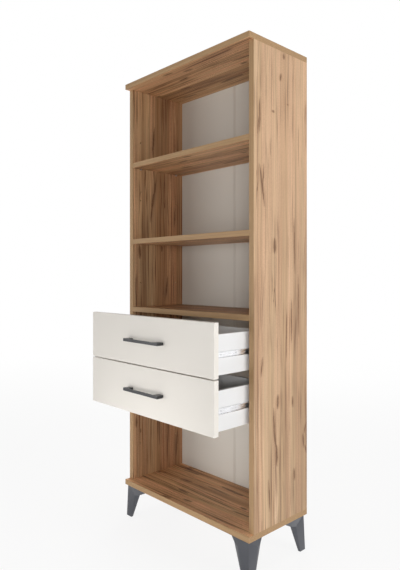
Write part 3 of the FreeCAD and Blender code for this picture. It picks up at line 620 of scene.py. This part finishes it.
# ---- Side panels ----
# The same board, standing, with the grain upright. The inner faces have the drilled rows
# for shelf pins, and a groove near the rear edge takes the back.
pin_radius, pin_depth = 0.00255, 0.0091
pins_low, pins_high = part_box("shelf_pins")
pin_ys = [side_low.y + setback for setback in (0.037, 0.216)]
spare_pin_heights = (0.127, 0.735, 1.047, 1.079, 1.265)
pin_zs = [bottom_high.z + height for height in spare_pin_heights]
pin_zs.append((pins_low.z + pins_high.z) / 2)
right_cracks = [
    (-11, 1376, 2.4, 56, 1), (-1, 1166, 3.2, 66, -13), (4, 1190, 1.6, 44, 4), (58.6, 987, 4.4, 26, 0),
    (160, 990, 2.2, 92, -3), (183, 800, 1.9, 104, -1), (146, 752, 2.0, 72, 0), (1.5, 622, 2.0, 32, 4),
    (76, 507, 3.2, 24, 1), (59, 436, 2.6, 58, -3), (72, 342, 3.6, 36, -1), (66, 385, 1.6, 40, -4),
    (212, 361, 3.0, 26, -2), (222, 400, 2.6, 20, 6), (225, 331, 2.4, 16, -5), (155, 495, 2.2, 20, -1),
    (160, 262, 3.0, 22, 0), (51, 1397, 3.0, 5, 0), (126, 1433, 2.0, 4, 0), (105, 1578, 2.4, 10, 0),
    (34, 229, 1.6, 52, -3), (88, 1510, 2.4, 14, 2), (-18, 1343, 1.8, 30, 3), (120, 700, 1.4, 80, 0),
]
right_bands = [(105, 21, 0.33), (-12, 14, 0.25), (155, 8, 0.2), (197, 5, 0.16), (40, 5, 0.12)]
left_cracks = [
    (64, 1412, 3.4, 62, 6), (59, 1195, 4.4, 98, 18), (55, 1180, 5.0, 30, 5), (-9.5, 986, 4.4, 30, -2),
    (101, 1001, 3.2, 14, 0), (126, 846, 3.4, 48, 6), (-23, 344, 3.4, 24, 0), (183, 225, 5.0, 60, 5),
    (-3, 307, 2.4, 10, 0), (20, 1280, 1.8, 60, 3), (150, 1320, 2.4, 50, -3), (160, 480, 2.6, 40, 2),
    (90, 300, 2.0, 70, -2), (170, 1130, 2.6, 44, 3),
]
# The first, wide band of the left side is painted shade over the rear part of its inner face; the others are
# print.
left_bands_and_shade = [(150, 86, 1.0), (96, 20, 0.2), (14, 9, 0.3), (186, 13, 0.3), (215, 10, 0.25)]
# The left side's tone and gamma paint shade into its inner face: darker, redder, with deeper dark places. The
# right side's outer face keeps a nearly plain tone.
for side, word, cracks, bands, shift, tone, face_light_richness in (
        (-1, "left", left_cracks, left_bands_and_shade, 0.2, (0.88, 0.81, 0.74), 1.6),
        (1, "right", right_cracks, right_bands, 1.0, (0.98, 0.98, 0.985), 1.2)):
    node = word + "_side_panel"
    low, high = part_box(node)
    near_x, far_x = sorted((side * (inner_x - overrun), side * (inner_x + groove_depth)))
    cuts = [square_cut((near_x, back_low.y - groove_play, low.z - overrun),
                       (far_x, back_high.y + groove_play, high.z + overrun))]
    for y in pin_ys:
        for z in pin_zs:
            cuts.append(round_cut((side * inner_x, y, z), (side, 0, 0), pin_radius, pin_depth))
    skin = oak_decor("oak decor, " + word + " side", "Z", (1, 0, 0), cracks, bands, shift, tone, face_light_richness)
    cut_board(node, cuts, skin)


# ---- Shelves ----
# The two fixed shelves are held by cams let into their undersides; the upper one only
# lies on its pins. Same board and edging as the rest.
cam_radius, cam_depth, cam_setback = 0.0075, 0.0125, 0.034
# Painted shade: the cover shelf's top face is toned much darker than the print.
cover_shade_tone = (0.68, 0.57, 0.47)
for node, shift in (("cover_shelf", 1.3), ("middle_shelf", 2.1), ("upper_shelf", 0.35)):
    low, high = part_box(node)
    cuts = []
    if node != "upper_shelf":
        for side in (-1, 1):
            for y in fixing_ys:
                seat = (side * (inner_x - cam_setback), y, low.z)
                cuts.append(round_cut(seat, (0, 0, 1), cam_radius + joint_play, cam_depth))
    shown = (0, 0, 1) if node == "cover_shelf" else (0, 0, -1)
    cracks = lying_cracks if node == "upper_shelf" else lying_cracks[2:7]
    tone = cover_shade_tone if node == "cover_shelf" else lying_shade_tone
    skin = oak_decor("oak decor, " + node.replace("_", " "), "X", shown, cracks, lying_bands, shift, tone,
                     lying_shade_richness)
    cut_board(node, cuts, skin)


# ---- Back panels ----
# Two strips of 3 mm hardboard, white on the front and brown at the rear, slid into the
# grooves and joined in the middle by a plastic strip.
def coated(name, colour, roughness, tone=0.02, grain=900.0, depth=0.00004, specular=0.4):
    """A smooth coat with a faint unevenness in tone and surface."""
    finish, tree, shader, where = new_finish(name)
    cloud = stretched_noise(where, (3, 3, 3), 3.0)
    uneven = stretched_noise(where, (grain, grain, grain))
    light = fade(cloud, 0.3, 0.7, 1.0 - tone, 1.0 + tone)
    tree.links.new(shaded(colour, light), shader.inputs["Base Color"])
    shine = fade(uneven, 0.2, 0.8, roughness - 0.05, roughness + 0.05)
    tree.links.new(shine, shader.inputs["Roughness"])
    add_dents(tree, shader, uneven, 0.5, depth)
    shader.inputs["Specular IOR Level"].default_value = specular
    return finish


back_white = coated("white hardboard face", paint(203, 198, 189), 0.6, 0.015)
raw_hardboard = coated("brown hardboard rear", paint(134, 98, 66), 0.8, 0.06, 1400.0, 0.0001)
thin_arris = 0.0002
for word in ("left", "right"):
    cut_board(word + "_back_panel", [], back_white, raw_hardboard, arris=thin_arris)


def eased_copy(node, finish, arris, segments=2, angle=25):
    """A copy of a frame node as one clean solid with rounded edges between flat faces."""
    source = frame["nodes"][node].data.copy()
    piece = bpy.data.objects.new(node + "_finished", source)
    scene.collection.objects.link(piece)
    source.materials.clear()
    source.materials.append(finish)
    weld = piece.modifiers.new("weld", "WELD")
    weld.merge_threshold = 0.000005
    flat = piece.modifiers.new("flat faces", "DECIMATE")
    flat.decimate_type = "DISSOLVE"
    flat.angle_limit = math.radians(1)
    eased = piece.modifiers.new("eased edges", "BEVEL")
    eased.width = arris
    eased.segments = segments
    eased.limit_method = "ANGLE"
    eased.angle_limit = math.radians(angle)
    eased.harden_normals = True
    source.shade_smooth()
    plain_mesh(piece)
    take_place(piece, node)
    return piece


strip_plastic = coated("joint strip plastic", paint(194, 188, 179), 0.5, 0.01)
eased_copy("back_joint_strip", strip_plastic, thin_arris)


# ---- Legs ----
# Four moulded corner legs in anthracite plastic: a tapered foot, a facet that leans back
# under the panel, and two thin wings along its edges. Each is screwed up into the panel.
leg_plastic = coated("anthracite moulded plastic", paint(71, 73, 80), 0.38, 0.03, 1600.0, 0.00006, 0.5)
for node in ("front_left_leg", "front_right_leg", "rear_left_leg", "rear_right_leg"):
    eased_copy(node, leg_plastic, 0.0006, segments=3, angle=5)


# ---- Screws ----
# Zinc-plated wood screws with a helical thread. Countersunk ones hold the outer rails and
# the drawers' backs, domed ones the rest, and long ones with a hexagon socket the carcass.
def bright_metal(name, colour, roughness, grain=(700, 700, 700), depth=0.00003):
    """Metal with a fine unevenness in its shine."""
    finish, tree, shader, where = new_finish(name)
    rub = stretched_noise(where, grain, 3.0, 0.6)
    cloud = stretched_noise(where, (40, 40, 40))
    shader.inputs["Metallic"].default_value = 1.0
    light = fade(cloud, 0.3, 0.7, 0.94, 1.03)
    tree.links.new(shaded(colour, light), shader.inputs["Base Color"])
    shine = fade(rub, 0.2, 0.8, roughness - 0.06, roughness + 0.08)
    tree.links.new(shine, shader.inputs["Roughness"])
    add_dents(tree, shader, rub, 0.4, depth)
    return finish


zinc_plate = bright_metal("zinc plate", paint(205, 205, 208), 0.30)


def end_with_copies(tree, inside, outside, sockets):
    """Ends a tree with a copy of its shape at each point, as plain faces with their finish."""
    placed = add_node(tree, "GeometryNodeInstanceOnPoints", {"Points": inside["Geometry"], **sockets})
    real = add_node(tree, "GeometryNodeRealizeInstances", {0: placed.outputs[0]})
    finished = add_node(tree, "GeometryNodeSetMaterial", {
        "Geometry": real.outputs[0], "Material": inside["Finish"]})
    tree.links.new(finished.outputs[0], outside["Geometry"])


def make_screw_tree():
    """Screws at the mesh's points, each pointing along its towards attribute into the wood."""
    taken = {"Geometry": "Geometry", "Head Radius": "Float", "Head Height": "Float", "Shank Radius": "Float",
             "Length": "Float", "Pitch": "Float", "Domed": "Bool", "Hexagon": "Bool", "Finish": "Material"}
    tree, inside, outside = new_group("wood screw", "GeometryNodeTree", taken, {"Geometry": "Geometry"})
    length, shank_wide = inside["Length"], inside["Shank Radius"]
    head_wide, head_high = inside["Head Radius"], inside["Head Height"]
    thread_depth, tip_slope, tip_radius = 0.5, 0.5, 0.0002
    dome_power, dome_fall = 3.0, 0.65
    tool_depth, blade_width, socket_radius = 1.3, 0.24, 0.46

    def pick(switch, no, yes, kind):
        chosen = add_node(tree, "GeometryNodeSwitch", {"Switch": switch, "False": no, "True": yes},
                          input_type=kind)
        return chosen.outputs[0]

    def shaped(sides, segments, radius_of, z_of):
        """A tube of radius and length 1, its rings then set to a radius and a height."""
        tube = add_node(tree, "GeometryNodeMeshCylinder", {
            "Vertices": sides, "Side Segments": segments, "Radius": 1.0, "Depth": 1.0})
        place = add_node(tree, "GeometryNodeInputPosition").outputs[0]
        xyz = add_node(tree, "ShaderNodeSeparateXYZ", {0: place}).outputs
        share = plus(xyz["Z"], 0.5)
        turn = calc("DIVIDE", calc("ARCTAN2", xyz["Y"], xyz["X"]), 2 * math.pi)
        radius = radius_of(share, turn)
        spot = add_node(tree, "ShaderNodeCombineXYZ", {
            "X": times(xyz["X"], radius), "Y": times(xyz["Y"], radius), "Z": z_of(share)})
        moved = add_node(tree, "GeometryNodeSetPosition", {
            "Geometry": tube.outputs["Mesh"], "Position": spot.outputs[0]})
        return moved.outputs[0]

    def shank_radius(share, turn):
        """The thread winds round the shank and runs out at the tip."""
        down = times(share, length)
        winding = plus(calc("DIVIDE", down, inside["Pitch"]), turn)
        groove = times(calc("PINGPONG", winding, 0.5), thread_depth)
        full = times(shank_wide, minus(1.0, groove))
        tip = plus(times(minus(length, down), tip_slope), tip_radius)
        return calc("MINIMUM", full, tip)

    def head_radius(share, turn):
        """A cone for a countersunk head, a round cap for a domed one."""
        cone = plus(shank_wide, times(minus(head_wide, shank_wide), share))
        fall = times(calc("POWER", share, dome_power), dome_fall)
        dome = times(head_wide, calc("SQRT", minus(1.0, fall)))
        return pick(inside["Domed"], cone, dome, "FLOAT")

    def head_z(share):
        sunk = times(minus(1.0, share), head_high)
        proud = times(times(share, -1.0), head_high)
        return pick(inside["Domed"], sunk, proud, "FLOAT")

    shank = shaped(10, 36, shank_radius, lambda share: times(share, length))
    head = shaped(18, 5, head_radius, head_z)
    depth = times(head_high, tool_depth)
    narrow = times(head_wide, blade_width)
    cross = tree.nodes.new("GeometryNodeJoinGeometry")
    for width, height in ((head_wide, narrow), (narrow, head_wide)):
        size = add_node(tree, "ShaderNodeCombineXYZ", {"X": width, "Y": height, "Z": depth})
        blade = add_node(tree, "GeometryNodeMeshCube", {"Size": size.outputs[0]})
        tree.links.new(blade.outputs["Mesh"], cross.inputs[0])
    socket = add_node(tree, "GeometryNodeMeshCylinder", {
        "Vertices": 6, "Radius": times(head_wide, socket_radius), "Depth": depth})
    tool = pick(inside["Hexagon"], cross.outputs[0], socket.outputs["Mesh"], "GEOMETRY")
    top = pick(inside["Domed"], 0.0, times(head_high, -1.0), "FLOAT")
    lift = add_node(tree, "ShaderNodeCombineXYZ", {"Z": top})
    lifted = add_node(tree, "GeometryNodeTransform", {"Geometry": tool, "Translation": lift.outputs[0]})
    marked = add_node(tree, "GeometryNodeMeshBoolean", {"Mesh 1": head}, operation="DIFFERENCE")
    tree.links.new(lifted.outputs[0], marked.inputs["Mesh 2"])
    screw = tree.nodes.new("GeometryNodeJoinGeometry")
    for part in (shank, marked.outputs["Mesh"]):
        tree.links.new(part, screw.inputs[0])
    end_with_copies(tree, inside, outside, {"Instance": screw.outputs[0], "Rotation": turn_to_seat(tree)})
    return tree


screw_tree = make_screw_tree()


def shade_smoothly(mesh, degrees):
    """Smooth shading that breaks where faces meet at more than an angle."""
    mesh.shade_smooth()
    mesh.set_sharp_from_angle(angle=math.radians(degrees))


def grow(node, tree, seats, settings, smooth=35):
    """One plain mesh from a tree that repeats its piece at each seat, a place and a direction."""
    mesh = bpy.data.meshes.new(node + "_finished")
    mesh.from_pydata([seat for seat, towards in seats], [], [])
    direction = mesh.attributes.new("towards", "FLOAT_VECTOR", "POINT")
    for number, (seat, towards) in enumerate(seats):
        direction.data[number].vector = towards
    piece = bpy.data.objects.new(node + "_finished", mesh)
    scene.collection.objects.link(piece)
    use_tree(piece, tree, settings)
    shade_smoothly(plain_mesh(piece), smooth)
    take_place(piece, node)


def screws(node, seats, head, shank, length, head_height=None, domed=True, hexagon=False):
    """Screws at their seats; a head's height is that of a right-angled cone if not given."""
    height = head - shank if head_height is None else head_height
    pitch = shank * 0.75
    grow(node, screw_tree, seats, {
        "Head Radius": head, "Head Height": height, "Shank Radius": shank, "Length": length,
        "Pitch": pitch, "Domed": domed, "Hexagon": hexagon, "Finish": zinc_plate})


confirmat_seats = []
for side in (-1, 1):
    for y in fixing_ys:
        confirmat_seats.append(((side * side_middle_x, y, top_high.z), (0, 0, -1)))
        confirmat_seats.append(((side * side_middle_x, y, bottom_low.z), (0, 0, 1)))
screws("confirmat_screws", confirmat_seats, confirmat_head, confirmat_radius, confirmat_length,
       domed=False, hexagon=True)

leg_flange = 0.003
leg_screw_places = ((0.086, 0.040), (0.040, 0.086), (0.052, 0.052))
leg_seats = []
for side in (-1, 1):
    for rear in (False, True):
        for a, b in leg_screw_places:
            x = side * (bottom_high.x - a)
            y = bottom_high.y - b if rear else bottom_low.y + b
            leg_seats.append(((x, y, bottom_low.z - leg_flange), (0, 0, 1)))
screws("leg_screws", leg_seats, head=0.004, shank=0.002, length=0.016, head_height=0.0024)


# ---- Drawer rails, carcass side ----
# Each drawer runs on two ball-bearing rails of rolled, zinc-plated steel: an outer member
# on the side panel wraps round two rows of balls, which a black plastic cage spaces out.
rail_space, rail_sheet = 0.010, 0.0011
ball_radius, ball_play = 0.002, 0.00015
ball_w, ball_z = 0.0036, 0.0102
race = ball_radius + ball_play + rail_sheet / 2
web_corner = ball_w - rail_sheet / 2
web_corner_z = ball_z - (web_corner - race)
lip_end, race_end = 10, 60
rail_steel = bright_metal("rolled rail steel", paint(238, 238, 240), 0.27, (900, 30, 900), 0.00001)


def bend(centre_w, centre_z, radius, start, end, steps=8):
    """Points of a rail's section round a bend, from one angle to another."""
    angles = [math.radians(start + (end - start) * number / steps) for number in range(steps + 1)]
    return [(centre_w + radius * math.cos(angle), centre_z + radius * math.sin(angle)) for angle in angles]


def both_halves(half):
    """A section from its upper half and the same half mirrored below it."""
    return half + [(w, -z) for w, z in reversed(half)]


def outer_section():
    """The carcass member: web, rounded corners, ball races and the open ends of the lips."""
    fold = rail_sheet / 2
    half = bend(ball_w, web_corner_z, web_corner + fold, 180, 90)
    half += bend(ball_w, ball_z, race + fold, 90, lip_end)[1:]
    half += bend(ball_w, ball_z, race - fold, lip_end, 90)
    half += bend(ball_w, web_corner_z, web_corner - fold, 90, 180)[1:]
    return both_halves(half)


def inner_section():
    """The drawer member: a web with two flanges rolled into races for the balls."""
    fold, web_bend = rail_sheet / 2, 0.002
    flange_z = ball_z - race * math.sin(math.radians(race_end))
    bend_w, bend_z = rail_space - web_bend, flange_z + fold - web_bend
    half = bend(bend_w, bend_z, web_bend, 0, 90)
    half += bend(ball_w, ball_z, race - fold, -race_end, race_end - 180)
    half += bend(ball_w, ball_z, race + fold, race_end - 180, -race_end)
    half += bend(bend_w, bend_z, web_bend - rail_sheet, 90, 0)
    return both_halves(half)


def swept(near, far):
    """Corners and faces of a bar between two outlines."""
    count = len(near)
    faces = [tuple(range(count)), tuple(reversed(range(count, 2 * count)))]
    for number in range(count):
        after = (number + 1) % count
        faces.append((after, number, count + number, count + after))
    return near + far, faces


def roll_rail(node, section, side, cuts):
    """A rail's section beside a side panel, from its node's front to its rear."""
    low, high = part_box(node)
    middle_z = (low.z + high.z) / 2
    rows = [[(side * (inner_x - w), y, middle_z + z) for w, z in section] for y in (low.y, high.y)]
    corners, faces = swept(*rows)
    if side < 0:
        faces = [tuple(reversed(face)) for face in faces]
    return cut_piece(node, (corners, faces), cuts, rail_steel, rail_steel, arris=0)


def add_stop(mesh, side, rear_y, middle_z):
    """A tab that stands up from the outer member's web at the rear end and stops the drawer."""
    reach, half_height, let_in = 0.005, 0.005, 0.0003
    near_x, far_x = sorted((side * (inner_x - rail_sheet + let_in), side * (inner_x - reach)))
    corners, faces = box_points((near_x, rear_y - rail_sheet, middle_z - half_height),
                                (far_x, rear_y, middle_z + half_height))
    shape = bmesh.new()
    shape.from_mesh(mesh)
    points = [shape.verts.new(corner) for corner in corners]
    for face in faces:
        shape.faces.new([points[number] for number in face])
    shape.to_mesh(mesh)
    shape.free()


outer_rail_seats = []
outer_screw_reaches, outer_screw_hole = (0.037, 0.213), 0.0036
outer_hole_reaches, outer_hole = (0.080, 0.125, 0.170), 0.0024
punch_depth, rail_smoothness = 0.003, 30
for level in ("upper", "lower"):
    for side, word in ((-1, "left"), (1, "right")):
        node = level + "_" + word + "_outer_rail"
        low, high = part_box(node)
        middle_z = (low.z + high.z) / 2
        web_x = side * (inner_x - rail_sheet)
        cuts = []
        for reach in outer_screw_reaches:
            seat = (web_x, low.y + reach, middle_z)
            outer_rail_seats.append((seat, (side, 0, 0)))
            cuts.append(round_cut(seat, (side, 0, 0), outer_screw_hole, punch_depth))
        for reach in outer_hole_reaches:
            seat = (web_x, low.y + reach, middle_z)
            cuts.append(round_cut(seat, (side, 0, 0), outer_hole, punch_depth))
        piece = roll_rail(node, outer_section(), side, cuts)
        add_stop(piece.data, side, high.y, middle_z)
        shade_smoothly(piece.data, rail_smoothness)
screws("outer_rail_screws", outer_rail_seats, head=0.0035, shank=0.00175, length=0.014, domed=False)


def make_ball_tree():
    """Balls at the mesh's points."""
    taken = {"Geometry": "Geometry", "Radius": "Float", "Finish": "Material"}
    tree, inside, outside = new_group("steel balls", "GeometryNodeTree", taken, {"Geometry": "Geometry"})
    ball = add_node(tree, "GeometryNodeMeshUVSphere", {
        "Segments": 20, "Rings": 12, "Radius": inside["Radius"]})
    end_with_copies(tree, inside, outside, {"Instance": ball.outputs[0]})
    return tree


ball_tree = make_ball_tree()
ball_steel = bright_metal("polished ball steel", paint(222, 223, 226), 0.12)
cage_plastic = coated("black cage plastic", paint(38, 38, 40), 0.45, 0.03, 1500.0, 0.00004, 0.5)
ball_pitch, balls_in_row, finger = 0.013, 4, 0.0087
for level in ("upper", "lower"):
    seats = []
    for side, word in ((-1, "left"), (1, "right")):
        node = level + "_" + word + "_ball_cage"
        low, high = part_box(node)
        for row in (-1, 1):
            for number in range(balls_in_row):
                y = low.y + finger / 2 + ball_pitch * (number + 0.5)
                z = (low.z + high.z) / 2 + row * ball_z
                seats.append(((side * (inner_x - ball_w), y, z), (0, 0, 1)))
        eased_copy(node, cage_plastic, 0.00015, segments=1)
    grow(level + "_rail_balls", ball_tree, seats, {"Radius": ball_radius, "Finish": ball_steel}, smooth=60)


# ---- Drawer boxes ----
# Each box is 12 mm board in white foil with raw rear ends. A thin hardboard base slides in
# a groove, and cams in the side boards draw the front on.
foil = coated("white drawer foil", paint(231, 231, 231), 0.38, 0.008, 1100.0, 0.00003)
base_white = coated("white base face", paint(236, 236, 236), 0.5, 0.01)
box_arris = 0.0005
box_cam_heights, box_cam_setback, box_cam_depth = (0.030, 0.090), 0.024, 0.0095
back_screw_setback, back_screw_hole, back_screw_sink = 0.006, 0.0041, 0.0012
inner_screw_reaches, inner_screw_hole = (0.035, 0.227), 0.0019
slot_reaches, slot_length, slot_radius, slot_cut = (0.072, 0.096, 0.168), 0.0054, 0.0018, 0.002
for level in ("upper", "lower"):
    drawer = level + "_drawer_"
    base_low, base_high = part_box(drawer + "base")
    base_groove = square_cut(
        (base_low.x - groove_play, base_low.y - groove_play, base_low.z - joint_play),
        (base_high.x + groove_play, base_high.y + overrun, base_high.z + joint_play))
    back_seats, rail_seats = [], []
    for side, word in ((-1, "left"), (1, "right")):
        inward = (-side, 0, 0)
        low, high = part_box(drawer + word + "_side")
        box_inner_x, outer_x = sorted((abs(low.x), abs(high.x)))
        cuts = [base_groove]
        for height in box_cam_heights:
            seat = (side * box_inner_x, low.y + box_cam_setback, low.z + height)
            cuts.append(round_cut(seat, (side, 0, 0), cam_radius + joint_play, box_cam_depth))
            seat = (side * outer_x, high.y - back_screw_setback, low.z + height)
            back_seats.append((seat, inward))
            cuts.append(round_cut(seat, inward, back_screw_hole, back_screw_sink))
        cut_board(drawer + word + "_side", cuts, foil, arris=box_arris)

        node = drawer + word + "_inner_rail"
        low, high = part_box(node)
        middle_z = (low.z + high.z) / 2
        web_x = side * (outer_x + rail_sheet)
        cuts = []
        for reach in inner_screw_reaches:
            seat = (web_x, low.y + reach, middle_z)
            rail_seats.append((seat, inward))
            cuts.append(round_cut(seat, inward, inner_screw_hole, punch_depth))
        for reach in slot_reaches:
            ends = [low.y + reach + half for half in (-slot_length / 2, slot_length / 2)]
            for y in ends:
                cuts.append(round_cut((web_x, y, middle_z), inward, slot_radius, punch_depth))
            cuts.append(square_cut((side * outer_x - slot_cut, ends[0], middle_z - slot_radius),
                                   (side * outer_x + slot_cut, ends[1], middle_z + slot_radius)))
        shade_smoothly(roll_rail(node, inner_section(), side, cuts).data, rail_smoothness)
    screws(drawer + "rail_screws", rail_seats, head=0.0032, shank=0.00175, length=0.011,
           head_height=0.0018)
    screws(drawer + "back_screws", back_seats, head=0.004, shank=0.002, length=0.040, domed=False)
    cut_board(drawer + "back", [], foil, bare_side=(0, 0, 0), arris=box_arris)
    cut_board(drawer + "base", [], base_white, raw_hardboard, (0, 0, -1), thin_arris)


# ---- Drawer fronts and handles ----
# Off-white lacquered boards with softly rounded edges. Each carries a flat bow handle of
# die-cast metal, coated anthracite, fixed by two screws from behind.
front_lacquer = coated("off-white lacquer", paint(233, 228, 220), 0.42, 0.008, 650.0, 0.00005)
handle_coat = coated("anthracite handle coat", paint(43, 44, 47), 0.38, 0.03, 1500.0, 0.00006, 0.5)


def bow_outline(half, reach):
    """The handle seen from above, from the front board's face out to the bar and back."""
    bar_depth, foot, foot_lean, corner, hollow = 0.006, 0.022, 0.003, 0.002, 0.003
    hollow_x = half - foot - foot_lean - hollow
    hollow_reach = reach - bar_depth - hollow
    right = [(half, 0)] + bend(half - corner, reach - corner, corner, 0, 90, 6)
    left = [(-x, y) for x, y in reversed(right)]
    left_hollow = bend(-hollow_x, hollow_reach, hollow, 180, 90, 6)
    right_hollow = bend(hollow_x, hollow_reach, hollow, 90, 0, 6)
    return right + left + [(-(half - foot), 0)] + left_hollow + right_hollow + [(half - foot, 0)]


handle_screw_spacing = 0.160
for level in ("upper", "lower"):
    drawer = level + "_drawer_"
    cut_board(drawer + "front", [], front_lacquer, front_lacquer, arris=0.0008)
    front_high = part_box(drawer + "front")[1]
    low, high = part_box(drawer + "handle")
    outline = bow_outline(high.x, high.y - low.y)
    rows = [[(x, high.y - y, z) for x, y in outline] for z in (low.z, high.z)]
    handle = cut_piece(drawer + "handle", swept(*rows), [], handle_coat, handle_coat)
    shade_smoothly(handle.data, 40)
    middle_z = (low.z + high.z) / 2
    seats = [((side * handle_screw_spacing / 2, front_high.y, middle_z), (0, -1, 0)) for side in (-1, 1)]
    screws(drawer + "handle_screws", seats, head=0.004, shank=0.002, length=0.027, head_height=0.0025)


# ---- Cams, bolts, pins and pegs ----
# Small fittings inside the joints: die-cast cams, plated bolts and shelf pins, and pegs of
# plain beech. They keep the frame's own solids.
cam_zinc = bright_metal("die-cast zinc", paint(178, 178, 180), 0.42)
peg_beech = coated("beech peg", paint(214, 182, 140), 0.7, 0.05, 1200.0, 0.0001)
fitting_finishes = {
    "shelf_cam_discs": cam_zinc, "upper_drawer_cam_discs": cam_zinc, "lower_drawer_cam_discs": cam_zinc,
    "shelf_cam_bolts": zinc_plate, "upper_drawer_cam_bolts": zinc_plate, "lower_drawer_cam_bolts": zinc_plate,
    "shelf_pins": zinc_plate, "end_dowels": peg_beech,
}
for node, finish in fitting_finishes.items():
    own = frame["nodes"][node].data
    own.materials.clear()
    own.materials.append(finish)
